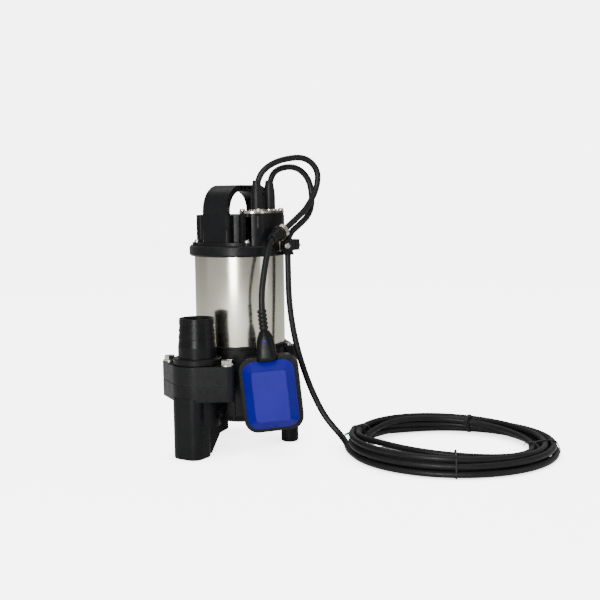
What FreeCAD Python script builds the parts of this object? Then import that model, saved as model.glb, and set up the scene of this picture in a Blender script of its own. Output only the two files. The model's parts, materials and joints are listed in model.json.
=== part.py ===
"""Submersible sump pump with a float switch and a coil of cable.

The frame: origin on the motor axis at floor level, +Z up, the discharge towards -Y and
the cable gland towards +X. Everything is in millimetres.
"""
import FreeCAD, Part
import math
import os
import re
import Sketcher

os.makedirs("parts", exist_ok=True)
doc = FreeCAD.newDocument("SumpPump")
Vec = FreeCAD.Vector
UP = Vec(0, 0, 1)

# ---------------------------------------------------------------- driving dimensions

SIZES = {
    # levels of the joints between the main castings, from the floor up
    "suction_low": 29, "casing_low": 36, "casing_floor": 42, "seal_level": 66,
    "casing_high": 118, "sleeve_low": 126, "lip_high": 133, "ring_low": 248,
    "sleeve_high": 254.9, "ring_high": 262, "cover_high": 301, "handle_high": 339.5,
    # motor sleeve and the two brackets that close it
    "sleeve_radius": 59, "sleeve_wall": 1.2, "groove_play": 0.1, "spigot_radius": 57.6,
    "spigot_inner": 53.5, "ring_radius": 65.6, "ring_round": 2, "plate_low": 252,
    "plate_high": 256, "seal_groove": 1.7, "seal_width": 2.5, "seal_radius": 0.86,
    # casing
    "casing_radius": 66, "chamber_radius": 56, "seat_radius": 60, "casing_round": 9,
    "leg_radius": 11.5, "leg_round": 3, "ear_radius": 10, "ear_circle": 66,
    "passage_radius": 20, "passage_bore": 15.5, "passage_level": 58,
    # discharge, whose axis stands in front of the motor axis
    "outlet_reach": 97, "outlet_bore": 19, "riser_radius": 27, "flange_low": 73,
    "flange_split": 93.8, "gasket_thick": 1.2, "flange_high": 117, "flange_radius": 34,
    "flange_end": 9, "bolt_reach": 44.5, "bolt_radius": 4, "bolt_play": 0.25,
    "coupling_radius": 22, "coupling_collar": 30.6, "collar_high": 125, "coupling_high": 174.5,
    "coupling_foot": 24.3, "thread_radius": 24, "barb": 0.8,
    "front_leg_width": 41, "front_leg_depth": 38, "front_leg_reach": 112, "front_leg_round": 13,
    "gusset": 5, "leg_brace": 7,
    # suction
    "suction_radius": 33, "suction_bore": 19, "suction_disc": 42, "suction_disc_low": 32,
    "suction_spigot": 25.9,
    # shaft, bearings, rotor and stator
    "shaft_end": 43.5, "shaft_thin": 6, "shaft_seal": 7.5, "shaft_thick": 9,
    "impeller_radius": 44, "impeller_low": 46, "impeller_high": 64, "impeller_disc": 4,
    "hub_low": 53, "hub_radius": 12, "nut_height": 8, "nut_radius": 11,
    "rotor_low": 172, "rotor_high": 220, "rotor_radius": 30.5, "air_gap": 0.5,
    "stator_low": 170, "stator_high": 222, "stator_radius": 57.7, "slot_depth": 13,
    "slot_width": 5, "winding_low": 150, "winding_high": 242, "winding_inner": 33.5,
    "winding_outer": 50, "hub_play": 0.02,
    "lower_hub": 24, "lower_bearing_low": 124, "lower_bearing_high": 135,
    "lower_bearing_outer": 17.5, "lower_bearing_inner": 7.5, "lower_race": 12.5,
    "lower_ball": 3, "lower_land": 10.4, "lower_shoulder": 14.6,
    "upper_hub": 20, "upper_bearing_low": 240, "upper_bearing_high": 250,
    "upper_bearing_outer": 16, "upper_bearing_inner": 6, "upper_race": 11,
    "upper_ball": 2.7, "upper_land": 9.1, "upper_shoulder": 12.9, "ball_play": 0.03,
    "lip_low": 112, "lip_radius": 14, "face_low": 70, "face_high": 78, "bellows_high": 98,
    # top cover and handle
    "lobe_reach": 54.4, "lobe_half": 20.5, "side_radius": 58, "side_half": 20,
    "core_radius": 46, "cavity_radius": 43, "cavity_high": 297, "foot_high": 266,
    "handle_half": 18.6, "handle_reach": 54, "handle_thick": 8, "handle_bend": 33,
    "screw_circle": 55.5, "screw_radius": 2.4, "head_radius": 4, "head_height": 3.4,
    # cable gland on the cover
    "gland_x": 38.5, "gland_half": 18, "gland_y": -2.5, "gland_radius": 18.8, "gland_high": 302,
    "boot_y": 1,
    "gland_wall": 3, "gland_plate": 3, "boot_spacing": 15, "boot_radius": 7.7,
    "boot_top": 4.9, "boot_high": 345, "boot_flange": 9.6, "small_radius": 2,
    "small_head": 3.7, "small_head_height": 2.8, "can_radius": 12.5, "can_level": 280,
    # cables and what holds them
    "cable_radius": 4, "grommet_radius": 9, "strap_thick": 1.2,
    "strap_width": 7, "clamp_x": 71.8, "clamp_y": 6, "clamp_low": 249, "clamp_high": 269,
    "clamp_radius": 7, "clamp_level": 261,
    # float switch
    "float_width": 75, "float_height": 93, "float_depth": 38, "float_round": 17,
    "float_split": 3, "float_wall": 2.4, "rim": 5, "float_drop": 2.5, "neck_width": 25, "neck_depth": 27,
    "neck_length": 32, "neck_top": 12.5, "relief_radius": 5.4, "relief_length": 27,
    "ball_radius": 8, "race_wall": 1.6, "race_high": 3, "race_play": 0.08,
    # coil of cable on the floor
    "coil_half_length": 134, "coil_half_width": 125, "coil_height": 25,
    "coil_band": 22, "coil_spread": 7,
}

sheet = doc.addObject("Spreadsheet::Sheet", "Sizes")
for row, (alias, value) in enumerate(SIZES.items(), start=1):
    sheet.set("A%d" % row, str(value))
    sheet.setAlias("A%d" % row, alias)
doc.recompute()


def cells(text):
    """The expression with each size's name turned into a reference to its cell."""
    return re.sub(r"[a-z][a-z_]*", lambda word: "Sizes." + word[0], text)


def number(size):
    """The value of a number or of a sum and difference of sizes."""
    if not isinstance(size, str):
        return float(size)
    total = 0.0
    for sign, word in re.findall(r"([+-]?)\s*([a-z_]+|[0-9.]+)", size):
        term = SIZES[word] if word in SIZES else float(word)
        total += -term if sign == "-" else term
    return total


# ---------------------------------------------------------------- helpers


def bind(item, name, size):
    """Set a property to a plain number, or bind it to the sheet."""
    if isinstance(size, str):
        item.setExpression(name, cells(size))
    else:
        setattr(item, name, size)


def place(item, at=(0, 0, 0), turn=None):
    """Put an item at a point whose coordinates are numbers or expressions."""
    base = Vec(*[number(size) for size in at])
    item.Placement = FreeCAD.Placement(base, turn or FreeCAD.Rotation())
    for axis, size in zip("xyz", at):
        if isinstance(size, str):
            item.setExpression("Placement.Base." + axis, cells(size))
    return item


def primitive(kind, sizes, at=(0, 0, 0), turn=None):
    item = doc.addObject("Part::" + kind, kind)
    for name, size in sizes.items():
        bind(item, name, size)
    return place(item, at, turn)


def cylinder(radius, height, at=(0, 0, 0), turn=None):
    return primitive("Cylinder", {"Radius": radius, "Height": height}, at, turn)


def cone(low_radius, high_radius, height, at=(0, 0, 0), turn=None):
    sizes = {"Radius1": low_radius, "Radius2": high_radius, "Height": height}
    return primitive("Cone", sizes, at, turn)


def box(length, width, height, at=(0, 0, 0), turn=None):
    return primitive("Box", {"Length": length, "Width": width, "Height": height}, at, turn)


def torus(ring_radius, radius, at=(0, 0, 0)):
    return primitive("Torus", {"Radius1": ring_radius, "Radius2": radius}, at)


def hexagon(radius, height, at=(0, 0, 0), turn=None):
    sizes = {"Polygon": 6, "Circumradius": radius, "Height": height}
    return primitive("Prism", sizes, at, turn)


def fuse(*items):
    item = doc.addObject("Part::MultiFuse", "Fusion")
    item.Shapes = list(items)
    item.Refine = True
    return item


def cut(base, *tools):
    item = doc.addObject("Part::Cut", "Cut")
    item.Base = base
    item.Tool = tools[0] if len(tools) == 1 else fuse(*tools)
    item.Refine = True
    return item


def common(*items):
    item = doc.addObject("Part::MultiCommon", "Common")
    item.Shapes = list(items)
    item.Refine = True
    return item


def group(items):
    """Separate solids that share one node."""
    item = doc.addObject("Part::Compound", "Group")
    item.Links = list(items)
    return item


def rounded(base, radius, chosen):
    """Round the edges that chosen(edge) picks."""
    doc.recompute()
    item = doc.addObject("Part::Fillet", "Rounded")
    item.Base = base
    size = number(radius)
    edges = enumerate(base.Shape.Edges, start=1)
    item.Edges = [(index, size, size) for index, edge in edges if chosen(edge)]
    return item


def upright(edge):
    size = edge.BoundBox
    return size.ZLength > 1 > size.XLength + size.YLength


def level(height, reach=0.01):
    """A test for edges that lie flat at a height."""
    return lambda edge: abs(edge.BoundBox.ZMin - height) < reach > abs(edge.BoundBox.ZMax - height)


def around(radius, angles):
    """Points on a circle about the motor axis, by degrees from the discharge side."""
    for angle in angles:
        turn = math.radians(angle)
        yield radius * math.sin(turn), -radius * math.cos(turn)


def origin_plane(body, role):
    return next(item for item in body.Origin.OriginFeatures if item.Role == role)


def new_sketch(body, role):
    sketch = body.newObject("Sketcher::SketchObject", "Outline")
    sketch.AttachmentSupport = [(origin_plane(body, role), "")]
    sketch.MapMode = "FlatFace"
    return sketch


def pin_point(sketch, curve, point, across, along):
    """Hold a sketch point at a place that the sheet gives."""
    for kind, size, axis in (("DistanceX", across, -2), ("DistanceY", along, -1)):
        value = number(size)
        if abs(value) < 1e-9:
            sketch.addConstraint(Sketcher.Constraint("PointOnObject", curve, point, axis))
            continue
        ends = (-1, 1, curve, point) if value > 0 else (curve, point, -1, 1)
        index = sketch.addConstraint(Sketcher.Constraint(kind, *ends, abs(value)))
        if isinstance(size, str):
            text = cells(size) if value > 0 else "-(%s)" % cells(size)
            sketch.setExpression("Constraints[%d]" % index, text)


def polygon(body, role, points):
    """A closed sketch of straight lines whose corners the sheet drives."""
    sketch = new_sketch(body, role)
    corners = [Vec(number(across), number(along), 0) for across, along in points]
    count = len(corners)
    lines = [Part.LineSegment(corners[i], corners[(i + 1) % count]) for i in range(count)]
    sketch.addGeometry(lines, False)
    for i in range(count):
        sketch.addConstraint(Sketcher.Constraint("Coincident", i, 2, (i + 1) % count, 1))
        pin_point(sketch, i, 1, *points[i])
    return sketch


def turned(profile):
    """A body of revolution from (radius, height) corners."""
    body = doc.addObject("PartDesign::Body", "Turned")
    sketch = polygon(body, "XZ_Plane", profile)
    turn = body.newObject("PartDesign::Revolution", "Revolution")
    turn.Profile = sketch
    turn.ReferenceAxis = (sketch, ["V_Axis"])
    turn.Angle = 360
    body.Tip = turn
    return body


def pad(body, sketch, height):
    item = body.newObject("PartDesign::Pad", "Pad")
    item.Profile = sketch
    bind(item, "Length", height)
    body.Tip = item
    return item


def hull_plate(circles, height, at):
    """A plate whose outline wraps circles, given anticlockwise as (x, y, radius)."""
    body = doc.addObject("PartDesign::Body", "Plate")
    sketch = new_sketch(body, "XY_Plane")
    count = len(circles)
    spots = [(Vec(number(x), number(y), 0), number(r)) for x, y, r in circles]
    normals = []
    for i, (centre, radius) in enumerate(spots):
        other, reach = spots[(i + 1) % count]
        along = other - centre
        lean = math.acos((radius - reach) / along.Length)
        angle = math.atan2(along.y, along.x) - lean
        normals.append(angle)
    for i, (centre, radius) in enumerate(spots):
        start, end = normals[i - 1], normals[i]
        while end < start:
            end += 2 * math.pi
        other, reach = spots[(i + 1) % count]
        side = Vec(math.cos(end), math.sin(end), 0)
        arc = Part.ArcOfCircle(Part.Circle(centre, UP, radius), start, end)
        line = Part.LineSegment(centre + side * radius, other + side * reach)
        sketch.addGeometry([arc, line], False)
    for i, (x, y, r) in enumerate(circles):
        arc, line, after = 2 * i, 2 * i + 1, 2 * ((i + 1) % count)
        sketch.addConstraint(Sketcher.Constraint("Tangent", arc, 2, line, 1))
        sketch.addConstraint(Sketcher.Constraint("Tangent", line, 2, after, 1))
        index = sketch.addConstraint(Sketcher.Constraint("Radius", arc, number(r)))
        if isinstance(r, str):
            sketch.setExpression("Constraints[%d]" % index, cells(r))
        pin_point(sketch, arc, 3, x, y)
    pad(body, sketch, height)
    return place(body, at)


def screw(shank_radius, shank_length, head_radius, head_height, at, turn=None):
    """A pan-head screw with a crossed recess; its head stands on the point given."""
    lower = 0.55 * number(head_height)
    low = cylinder(head_radius, lower)
    top_radius = 0.72 * number(head_radius)
    top = cone(head_radius, top_radius, number(head_height) - lower, (0, 0, lower))
    shank = cylinder(shank_radius, shank_length, (0, 0, -number(shank_length)))
    long, wide = 1.1 * number(head_radius), 0.26 * number(head_radius)
    floor = 0.45 * number(head_height)
    slots = [
        box(long, wide, number(head_height), (-long / 2, -wide / 2, floor)),
        box(wide, long, number(head_height), (-wide / 2, -long / 2, floor)),
    ]
    return place(cut(fuse(low, top, shank), *slots), at, turn)


def tube(route, radius, name):
    """A round cable: straight runs through the route's points, joined by tangent arcs."""
    points = [Vec(*point) for point in route]
    edges, here, radii, total = [], points[0], [], 0.0
    for before, corner, after in zip(points, points[1:], points[2:]):
        back, ahead = (before - corner), (after - corner)
        shorter = min(back.Length, ahead.Length)
        turn = math.pi - back.getAngle(ahead)
        reach = 0.45 * shorter
        start = corner + back.normalize() * reach
        end = corner + ahead.normalize() * reach
        bend = reach / math.tan(turn / 2)
        middle = (start + end) * 0.5
        inward = (middle - corner).normalize()
        centre = corner + inward * math.hypot(bend, reach)
        edges.append(Part.LineSegment(here, start).toShape())
        edges.append(Part.Arc(start, centre - inward * bend, end).toShape())
        radii.append(bend)
        here = end
    edges.append(Part.LineSegment(here, points[-1]).toShape())
    path = Part.Wire(edges)
    heading = points[1] - points[0]
    section = Part.Wire(Part.Circle(points[0], heading, radius).toShape())
    shape = path.makePipeShell([section], True, False)
    drawn = math.pi * radius ** 2 * path.Length
    print("%s: length %.0f, tightest radius %.1f, volume ratio %.4f, radii %s" % (
        name, path.Length, min(radii), shape.Volume / drawn, [round(r) for r in radii]))
    return feature(shape)


def feature(shape):
    item = doc.addObject("Part::Feature", "Shape")
    item.Shape = shape
    return item


PARTS = {}


def part(name, item):
    """Name a finished sub-part and keep it for export."""
    item.Label = name
    PARTS[name] = item
    return item


# ---------------------------------------------------------------- motor housing


def motor_sleeve():
    inner = "sleeve_radius - sleeve_wall"
    return turned([
        (inner, "sleeve_low"), ("sleeve_radius", "sleeve_low"),
        ("sleeve_radius", "sleeve_high"), (inner, "sleeve_high"),
    ])


def upper_bracket():
    """The black collar over the sleeve, with the upper bearing's housing."""
    pocket = "upper_bearing_outer + hub_play"
    groove = "spigot_radius - seal_groove"
    body = turned([
        ("0", "upper_bearing_high + groove_play"), (pocket, "upper_bearing_high + groove_play"),
        (pocket, "upper_bearing_low"), ("upper_hub", "upper_bearing_low"),
        ("upper_hub", "plate_low"), ("spigot_inner", "plate_low"),
        ("spigot_inner", "ring_low - 4"), ("spigot_radius", "ring_low - 4"),
        ("spigot_radius", "ring_low - 1.5"), (groove, "ring_low - 1.5"),
        (groove, "ring_low - 1.5 + seal_width"), ("spigot_radius", "ring_low - 1.5 + seal_width"),
        ("spigot_radius", "sleeve_high + groove_play"),
        ("sleeve_radius + groove_play", "sleeve_high + groove_play"),
        ("sleeve_radius + groove_play", "ring_low"),
        ("ring_radius - ring_round", "ring_low"), ("ring_radius", "ring_low + ring_round"),
        ("ring_radius", "ring_high - ring_round"), ("ring_radius - ring_round", "ring_high"),
        ("cavity_radius + ring_round", "ring_high"), ("cavity_radius + ring_round", "plate_high"),
        ("0", "plate_high"),
    ])
    pad_width = 26
    bracket = box(
        "clamp_x - clamp_radius + 1 - sleeve_radius - ring_round", pad_width,
        "ring_high - ring_low - ring_round",
        ("sleeve_radius + ring_round", -9, "ring_low + 1"),
    )
    lead_hole = cylinder(5, "plate_high - plate_low + 2", (24, 12, "plate_low - 1"))
    threads = [
        cylinder("screw_radius + bolt_play", "ring_high - plate_low", (x, y, "plate_low - 1 + 4"))
        for x, y in screw_spots()
    ]
    saddles = [box(20, 4, 15, (-26, y, "plate_high - 0.5")) for y in (-20, 16)]
    along_y = FreeCAD.Rotation(Vec(1, 0, 0), 90)
    can = cylinder("can_radius + hub_play", 90, (-16, 45, "can_level"), along_y)
    return cut(fuse(body, bracket, *saddles), lead_hole, can, *threads)


def screw_spots():
    """The four cover screws, between the lobes."""
    return list(around(SIZES["screw_circle"], (45, 135, 225, 315)))


def ear_spots():
    """The five ears that hold the lower bracket on the casing; two stand over legs."""
    return list(around(number("ear_circle"), (-106, -62, 62, 106, 180)))


def lower_bracket():
    """The casting under the motor: sleeve seat, lower bearing housing and oil chamber."""
    pocket = "lower_bearing_outer + hub_play"
    groove = "spigot_radius - seal_groove"
    seat = "seat_radius - groove_play"
    body = turned([
        ("shaft_seal + 0.7", "lip_low + 7"), ("shaft_seal + 0.7", "lower_bearing_low"),
        (pocket, "lower_bearing_low"), (pocket, "lower_bearing_high + 1"),
        ("lower_hub", "lower_bearing_high + 1"), ("lower_hub", "lower_bearing_low"),
        ("spigot_inner", "lower_bearing_low"), ("spigot_inner", "lip_high + 7"),
        ("spigot_radius", "lip_high + 7"), ("spigot_radius", "lip_high + 1 + seal_width"),
        (groove, "lip_high + 1 + seal_width"), (groove, "lip_high + 1"),
        ("spigot_radius", "lip_high + 1"), ("spigot_radius", "sleeve_low"),
        ("sleeve_radius + groove_play", "sleeve_low"),
        ("sleeve_radius + groove_play", "lip_high"), ("sleeve_radius + 1.4", "lip_high"),
        ("sleeve_radius + 2.4", "lip_high - 1"), ("sleeve_radius + 2.4", "lip_high - 4"),
        ("casing_radius", "lip_high - 4"), ("casing_radius", "casing_high + groove_play"),
        (seat, "casing_high + groove_play"), (seat, "seal_level + 6.2"),
        ("seat_radius - 4", "seal_level + 6.2"), ("seat_radius - 4", "casing_high"),
        ("lower_hub", "casing_high"), ("lower_hub", "lip_low"),
        ("lip_radius + hub_play", "lip_low"), ("lip_radius + hub_play", "lip_low + 7"),
    ])
    height = "lip_high - 4 - casing_high - groove_play"
    low = "casing_high + groove_play"
    ears, holes = [], []
    for (x, y), radius in zip(ear_spots(), ear_radii()):
        ears.append(cylinder(radius, height, (x, y, low)))
        holes.append(cylinder("screw_radius + bolt_play", 20, (x, y, "casing_high - 2")))
    keep_clear = cylinder("sleeve_radius + groove_play", 40, (0, 0, "casing_high - 5"))
    return cut(fuse(body, cut(fuse(*ears), keep_clear)), *holes)


def ear_radii():
    return ("leg_radius", "ear_radius", "ear_radius", "leg_radius", "ear_radius")


def sleeve_seals():
    middle = "spigot_radius - seal_groove + seal_radius + 0.05"
    return group([
        torus(middle, "seal_radius", (0, 0, "ring_low - 1.5 + 1.25")),
        torus(middle, "seal_radius", (0, 0, "lip_high + 1 + 1.25")),
    ])


# ---------------------------------------------------------------- pump end


def volute_casing():
    """Pump chamber, discharge elbow with its flange, front leg and two rear legs."""
    drum = rounded(
        cylinder("casing_radius", "casing_high - casing_low", (0, 0, "casing_low")),
        "casing_round", level(number("casing_low")),
    )
    legs = []
    for (x, y), radius in zip(ear_spots(), ear_radii()):
        if radius == "leg_radius":
            leg = cylinder(radius, "casing_high", (x, y, 0))
            legs.append(rounded(leg, "leg_round", level(0)))
        else:
            legs.append(cylinder(radius, 26, (x, y, "casing_high - 26")))
    front_leg = rounded(
        box("front_leg_width", "front_leg_depth", "flange_low + 4",
            (-SIZES["front_leg_width"] / 2, "0 - front_leg_reach - 19", 0)),
        "front_leg_round", upright,
    )
    front_leg = rounded(front_leg, 2, level(0))
    along_y = FreeCAD.Rotation(Vec(1, 0, 0), 90)
    passage = cylinder("passage_radius", "outlet_reach - 40", (0, -40, "passage_level"), along_y)
    riser = cylinder("riser_radius", "flange_low - casing_low + 4", (0, "0 - outlet_reach", 38))
    web = gusset_plate()
    rib = box(6, 3, 42, (*next(around(62, [24])), "casing_low + 3"),
              FreeCAD.Rotation(UP, -66))
    braces = [leg_brace(x) for x in ("leg_brace", "0 - leg_brace - gusset")]
    flange = hull_plate(flange_outline(0), "flange_split - flange_low", (0, 0, "flange_low"))
    solid = fuse(drum, *legs, front_leg, passage, riser, web, *braces, rib, flange)
    chamber = cylinder("chamber_radius", "seal_level - casing_floor + 1", (0, 0, "casing_floor"))
    seat = cylinder("seat_radius", "casing_high", (0, 0, "seal_level"))
    inlet = cylinder("suction_spigot + groove_play", 30, (0, 0, "casing_floor - 20"))
    duct = cylinder("passage_bore", "outlet_reach - 40", (0, -40, "passage_level"), along_y)
    outlet = cylinder("outlet_bore", 60, (0, "0 - outlet_reach", "passage_level - 6"))
    bolts = [
        cylinder("bolt_radius + bolt_play", "flange_split", (x, "0 - outlet_reach", "flange_low - 6"))
        for x in ("bolt_reach", "0 - bolt_reach")
    ]
    threads = [
        cylinder("screw_radius + bolt_play", 22, (x, y, "casing_high - 20")) for x, y in ear_spots()
    ]
    small = [
        cylinder("small_radius + bolt_play", 10, (x, y, "suction_disc_low"))
        for x, y in around(37.5, (45, 135, 225, 315))
    ]
    foot_hollow = rounded(
        box("front_leg_width - 7", "front_leg_depth - 7", 26,
            (3.5 - SIZES["front_leg_width"] / 2, "3.5 - front_leg_reach - 19", -1)),
        "front_leg_round - 3.5", upright,
    )
    return cut(solid, chamber, seat, inlet, duct, outlet, foot_hollow, *bolts, *threads, *small)


def gusset_plate():
    """The thin triangular web between the front leg and the pump chamber."""
    body = doc.addObject("PartDesign::Body", "Web")
    leg_back, drum_front = "20 - front_leg_reach", "0 - suction_spigot - 34"
    sketch = polygon(body, "YZ_Plane", [
        (leg_back, 2), (drum_front, "casing_low + 4"), (drum_front, "casing_low + 12"),
        ("14 - front_leg_reach", "casing_low + 12"), ("14 - front_leg_reach", 2),
    ])
    web = pad(body, sketch, "gusset")
    web.Midplane = True
    return body


def leg_brace(x):
    """One of the two low braces from the front leg's foot to under the chamber."""
    body = doc.addObject("PartDesign::Body", "Brace")
    sketch = polygon(body, "YZ_Plane", [
        ("17 - front_leg_reach", 1), ("25 - front_leg_reach", 1), (-68, 23), (-50, 25),
        (-50, "casing_low + 4"), (-58, "casing_low + 4"), (-58, "casing_low + 10"),
        ("17 - front_leg_reach", "casing_low + 10"),
    ])
    pad(body, sketch, "gusset")
    return place(body, (x, 0, 0))


def flange_outline(trim):
    """Circles that the oval flange wraps: one about the outlet, one about each bolt."""
    middle, end = "flange_radius - %g" % trim, "flange_end - %g" % trim
    reach = "0 - outlet_reach"
    return [
        ("bolt_reach", reach, end), (0, reach, middle), ("0 - bolt_reach", reach, end),
        (0, reach, middle),
    ]


def coupling_flange():
    plate = hull_plate(
        flange_outline(0), "flange_high - flange_split - gasket_thick",
        (0, 0, "flange_split + gasket_thick"),
    )
    bore = cylinder("thread_radius + groove_play", 60, (0, "0 - outlet_reach", "flange_low"))
    bolts = [
        cylinder("bolt_radius + bolt_play", 60, (x, "0 - outlet_reach", "flange_low"))
        for x in ("bolt_reach", "0 - bolt_reach")
    ]
    return cut(plate, bore, beside_drum(), *bolts)


def beside_drum():
    """The room that the pump chamber's drum needs beside the flange."""
    return cylinder("casing_radius + bolt_play", "casing_high")


def flange_gasket():
    plate = hull_plate(flange_outline(0.6), "gasket_thick", (0, 0, "flange_split"))
    bore = cylinder("outlet_bore + 1", 60, (0, "0 - outlet_reach", "flange_low"))
    bolts = [
        cylinder("bolt_radius + bolt_play", 60, (x, "0 - outlet_reach", "flange_low"))
        for x in ("bolt_reach", "0 - bolt_reach")
    ]
    return cut(plate, bore, beside_drum(), *bolts)


def hose_coupling():
    """The barbed hose spigot that screws into the flange."""
    top = "coupling_high"
    rise = 8.8
    profile = [
        ("outlet_bore", "flange_split + gasket_thick"),
        ("thread_radius", "flange_split + gasket_thick"),
        ("thread_radius", "flange_high"), ("coupling_collar - 0.8", "flange_high"),
        ("coupling_collar", "flange_high + 0.8"), ("coupling_collar", "collar_high - 1.5"),
        ("coupling_collar - 1.5", "collar_high"), ("coupling_foot", "collar_high"),
        ("coupling_foot", "collar_high + 14"),
    ]
    for step in (3, 2, 1):
        edge = "coupling_high - %g" % (rise * step - 1.3)
        profile.append(("coupling_radius - barb + %g" % (0.5 * step), edge))
        profile.append(("coupling_radius + %g" % (0.5 * step), edge))
    profile += [
        ("coupling_radius", top), ("coupling_radius - 1.4", top), ("outlet_bore", "coupling_high - 2")
    ]
    return place(turned(profile), (0, "0 - outlet_reach", 0))


def flange_bolts():
    bolts = []
    for x in ("bolt_reach", "0 - bolt_reach"):
        head = hexagon(7, 5.5, (x, "0 - outlet_reach", "flange_high + 1.6"))
        shank = cylinder("bolt_radius", "flange_high - flange_low + 1.6",
                         (x, "0 - outlet_reach", "flange_low"))
        bolts.append(fuse(head, shank))
    return group(bolts)


def flange_washers():
    rings = []
    for x in ("bolt_reach", "0 - bolt_reach"):
        ring = cylinder(8, 1.6, (x, "0 - outlet_reach", "flange_high"))
        hole = cylinder("bolt_radius + bolt_play", 4, (x, "0 - outlet_reach", "flange_high - 1"))
        rings.append(cut(ring, hole))
    return group(rings)


def seal_plate():
    """The wall between the pump chamber and the oil chamber."""
    return turned([
        ("shaft_thick", "seal_level"), ("seat_radius - groove_play", "seal_level"),
        ("seat_radius - groove_play", "seal_level + 6"), (20, "seal_level + 6"),
        (20, "face_high"), ("lip_radius + hub_play", "face_high"),
        ("lip_radius + hub_play", "face_low"), ("shaft_thick", "face_low"),
    ])


def suction_cover():
    ring = turned([
        ("suction_bore", "suction_low"), ("suction_radius - 1.5", "suction_low"),
        ("suction_radius", "suction_low + 1.5"), ("suction_radius", "suction_disc_low"),
        ("suction_disc", "suction_disc_low"), ("suction_disc", "casing_low"),
        ("suction_spigot", "casing_low"), ("suction_spigot", "casing_floor"),
        ("suction_bore", "casing_floor"),
    ])
    holes = [
        cylinder("small_radius + bolt_play", 20, (x, y, "suction_low"))
        for x, y in around(37.5, (45, 135, 225, 315))
    ]
    return cut(ring, *holes)


def suction_screws():
    head_down = FreeCAD.Rotation(Vec(1, 0, 0), 180)
    return group([
        screw("small_radius", 9, "small_head", "small_head_height",
              (x, y, "suction_disc_low"), head_down)
        for x, y in around(37.5, (45, 135, 225, 315))
    ])


def casing_screws():
    return group([
        screw("screw_radius", 24, "head_radius", "head_height", (x, y, "lip_high - 4"))
        for x, y in ear_spots()
    ])


# ---------------------------------------------------------------- motor


def stator_core():
    ring = turned([
        ("rotor_radius + air_gap", "stator_low"), ("stator_radius", "stator_low"),
        ("stator_radius", "stator_high"), ("rotor_radius + air_gap", "stator_high"),
    ])
    return cut(ring, *slot_bars("slot_depth", "slot_width", 0))


def slot_bars(depth, width, beyond):
    """Twenty-four radial bars, as long as the stator or a little longer."""
    bars = []
    start = SIZES["rotor_radius"] + SIZES["air_gap"] + 2.5 + beyond
    for step in range(24):
        turn = FreeCAD.Rotation(UP, 15 * step)
        corner = turn.multVec(Vec(start, -number(width) / 2, SIZES["stator_low"] - beyond))
        bar = box(depth, width, "stator_high - stator_low + %g" % (2 * beyond), (0, 0, 0), turn)
        bar.Placement.Base = corner
        bars.append(bar)
    return bars


def stator_windings():
    """Two end turns joined by the wires in the slots."""
    profile = [
        ("winding_inner", 1.5), ("winding_inner + 1.5", 0), ("winding_outer - 4", 0),
        ("winding_outer", 4), ("winding_outer", 17), ("winding_outer - 2", 19.6),
        ("winding_inner", 19.6),
    ]
    low = place(turned(profile), (0, 0, "winding_low"))
    flipped = FreeCAD.Rotation(Vec(1, 0, 0), 180)
    high = place(turned(profile), (0, 0, "winding_high"), flipped)
    return fuse(low, high, *slot_bars("slot_depth - 2", "slot_width - 0.6", 1))


def thermal_protector():
    return rounded(box(12, 20, 6, (36, -10, "winding_high + 0.2")), 1.2, upright)


def shaft():
    return turned([
        (0, "shaft_end"), ("shaft_thin - 1", "shaft_end"), ("shaft_thin", "shaft_end + 1"),
        ("shaft_thin", "impeller_high"), ("shaft_seal", "impeller_high"),
        ("shaft_seal", "lower_bearing_high"), ("shaft_thick", "lower_bearing_high + 0.1"),
        ("shaft_thick", "upper_bearing_low - 0.1"), ("shaft_thin", "upper_bearing_low"),
        ("shaft_thin", "upper_bearing_high"), (0, "upper_bearing_high"),
    ])


def rotor_core():
    return turned([
        ("shaft_thick + hub_play", "rotor_low"), ("rotor_radius", "rotor_low"),
        ("rotor_radius", "rotor_high"), ("shaft_thick + hub_play", "rotor_high"),
    ])


def rotor_end_rings():
    rings = []
    for low in ("rotor_low - 8", "rotor_high"):
        ring = turned([(15, 0), (28, 0), (28, 8), (15, 8)])
        rings.append(place(ring, (0, 0, low)))
    return group(rings)


def bearing_outer(prefix):
    middle = "%s_bearing_low" % prefix
    high = "%s_bearing_high" % prefix
    half = (SIZES[high] - SIZES[middle]) / 2
    ring = turned([
        ("%s_shoulder" % prefix, middle), ("%s_bearing_outer" % prefix, middle),
        ("%s_bearing_outer" % prefix, high), ("%s_shoulder" % prefix, high),
    ])
    track = torus("%s_race" % prefix, "%s_ball + ball_play" % prefix, (0, 0, "%s + %g" % (middle, half)))
    return cut(ring, track)


def bearing_inner(prefix):
    """The ring on the shaft, whose track is a groove with sloping sides."""
    middle = "%s_bearing_low" % prefix
    high = "%s_bearing_high" % prefix
    centre = (SIZES[high] + SIZES[middle]) / 2
    ball = SIZES[prefix + "_ball"]
    bore, land = "%s_bearing_inner + hub_play" % prefix, "%s_land" % prefix
    track = "%s_race - %s_ball - ball_play" % (prefix, prefix)
    floor_half, mouth_half = 0.3 * ball, 0.77 * ball
    return turned([
        (bore, middle), (land, middle), (land, centre - mouth_half), (track, centre - floor_half),
        (track, centre + floor_half), (land, centre + mouth_half), (land, high), (bore, high),
    ])


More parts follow.
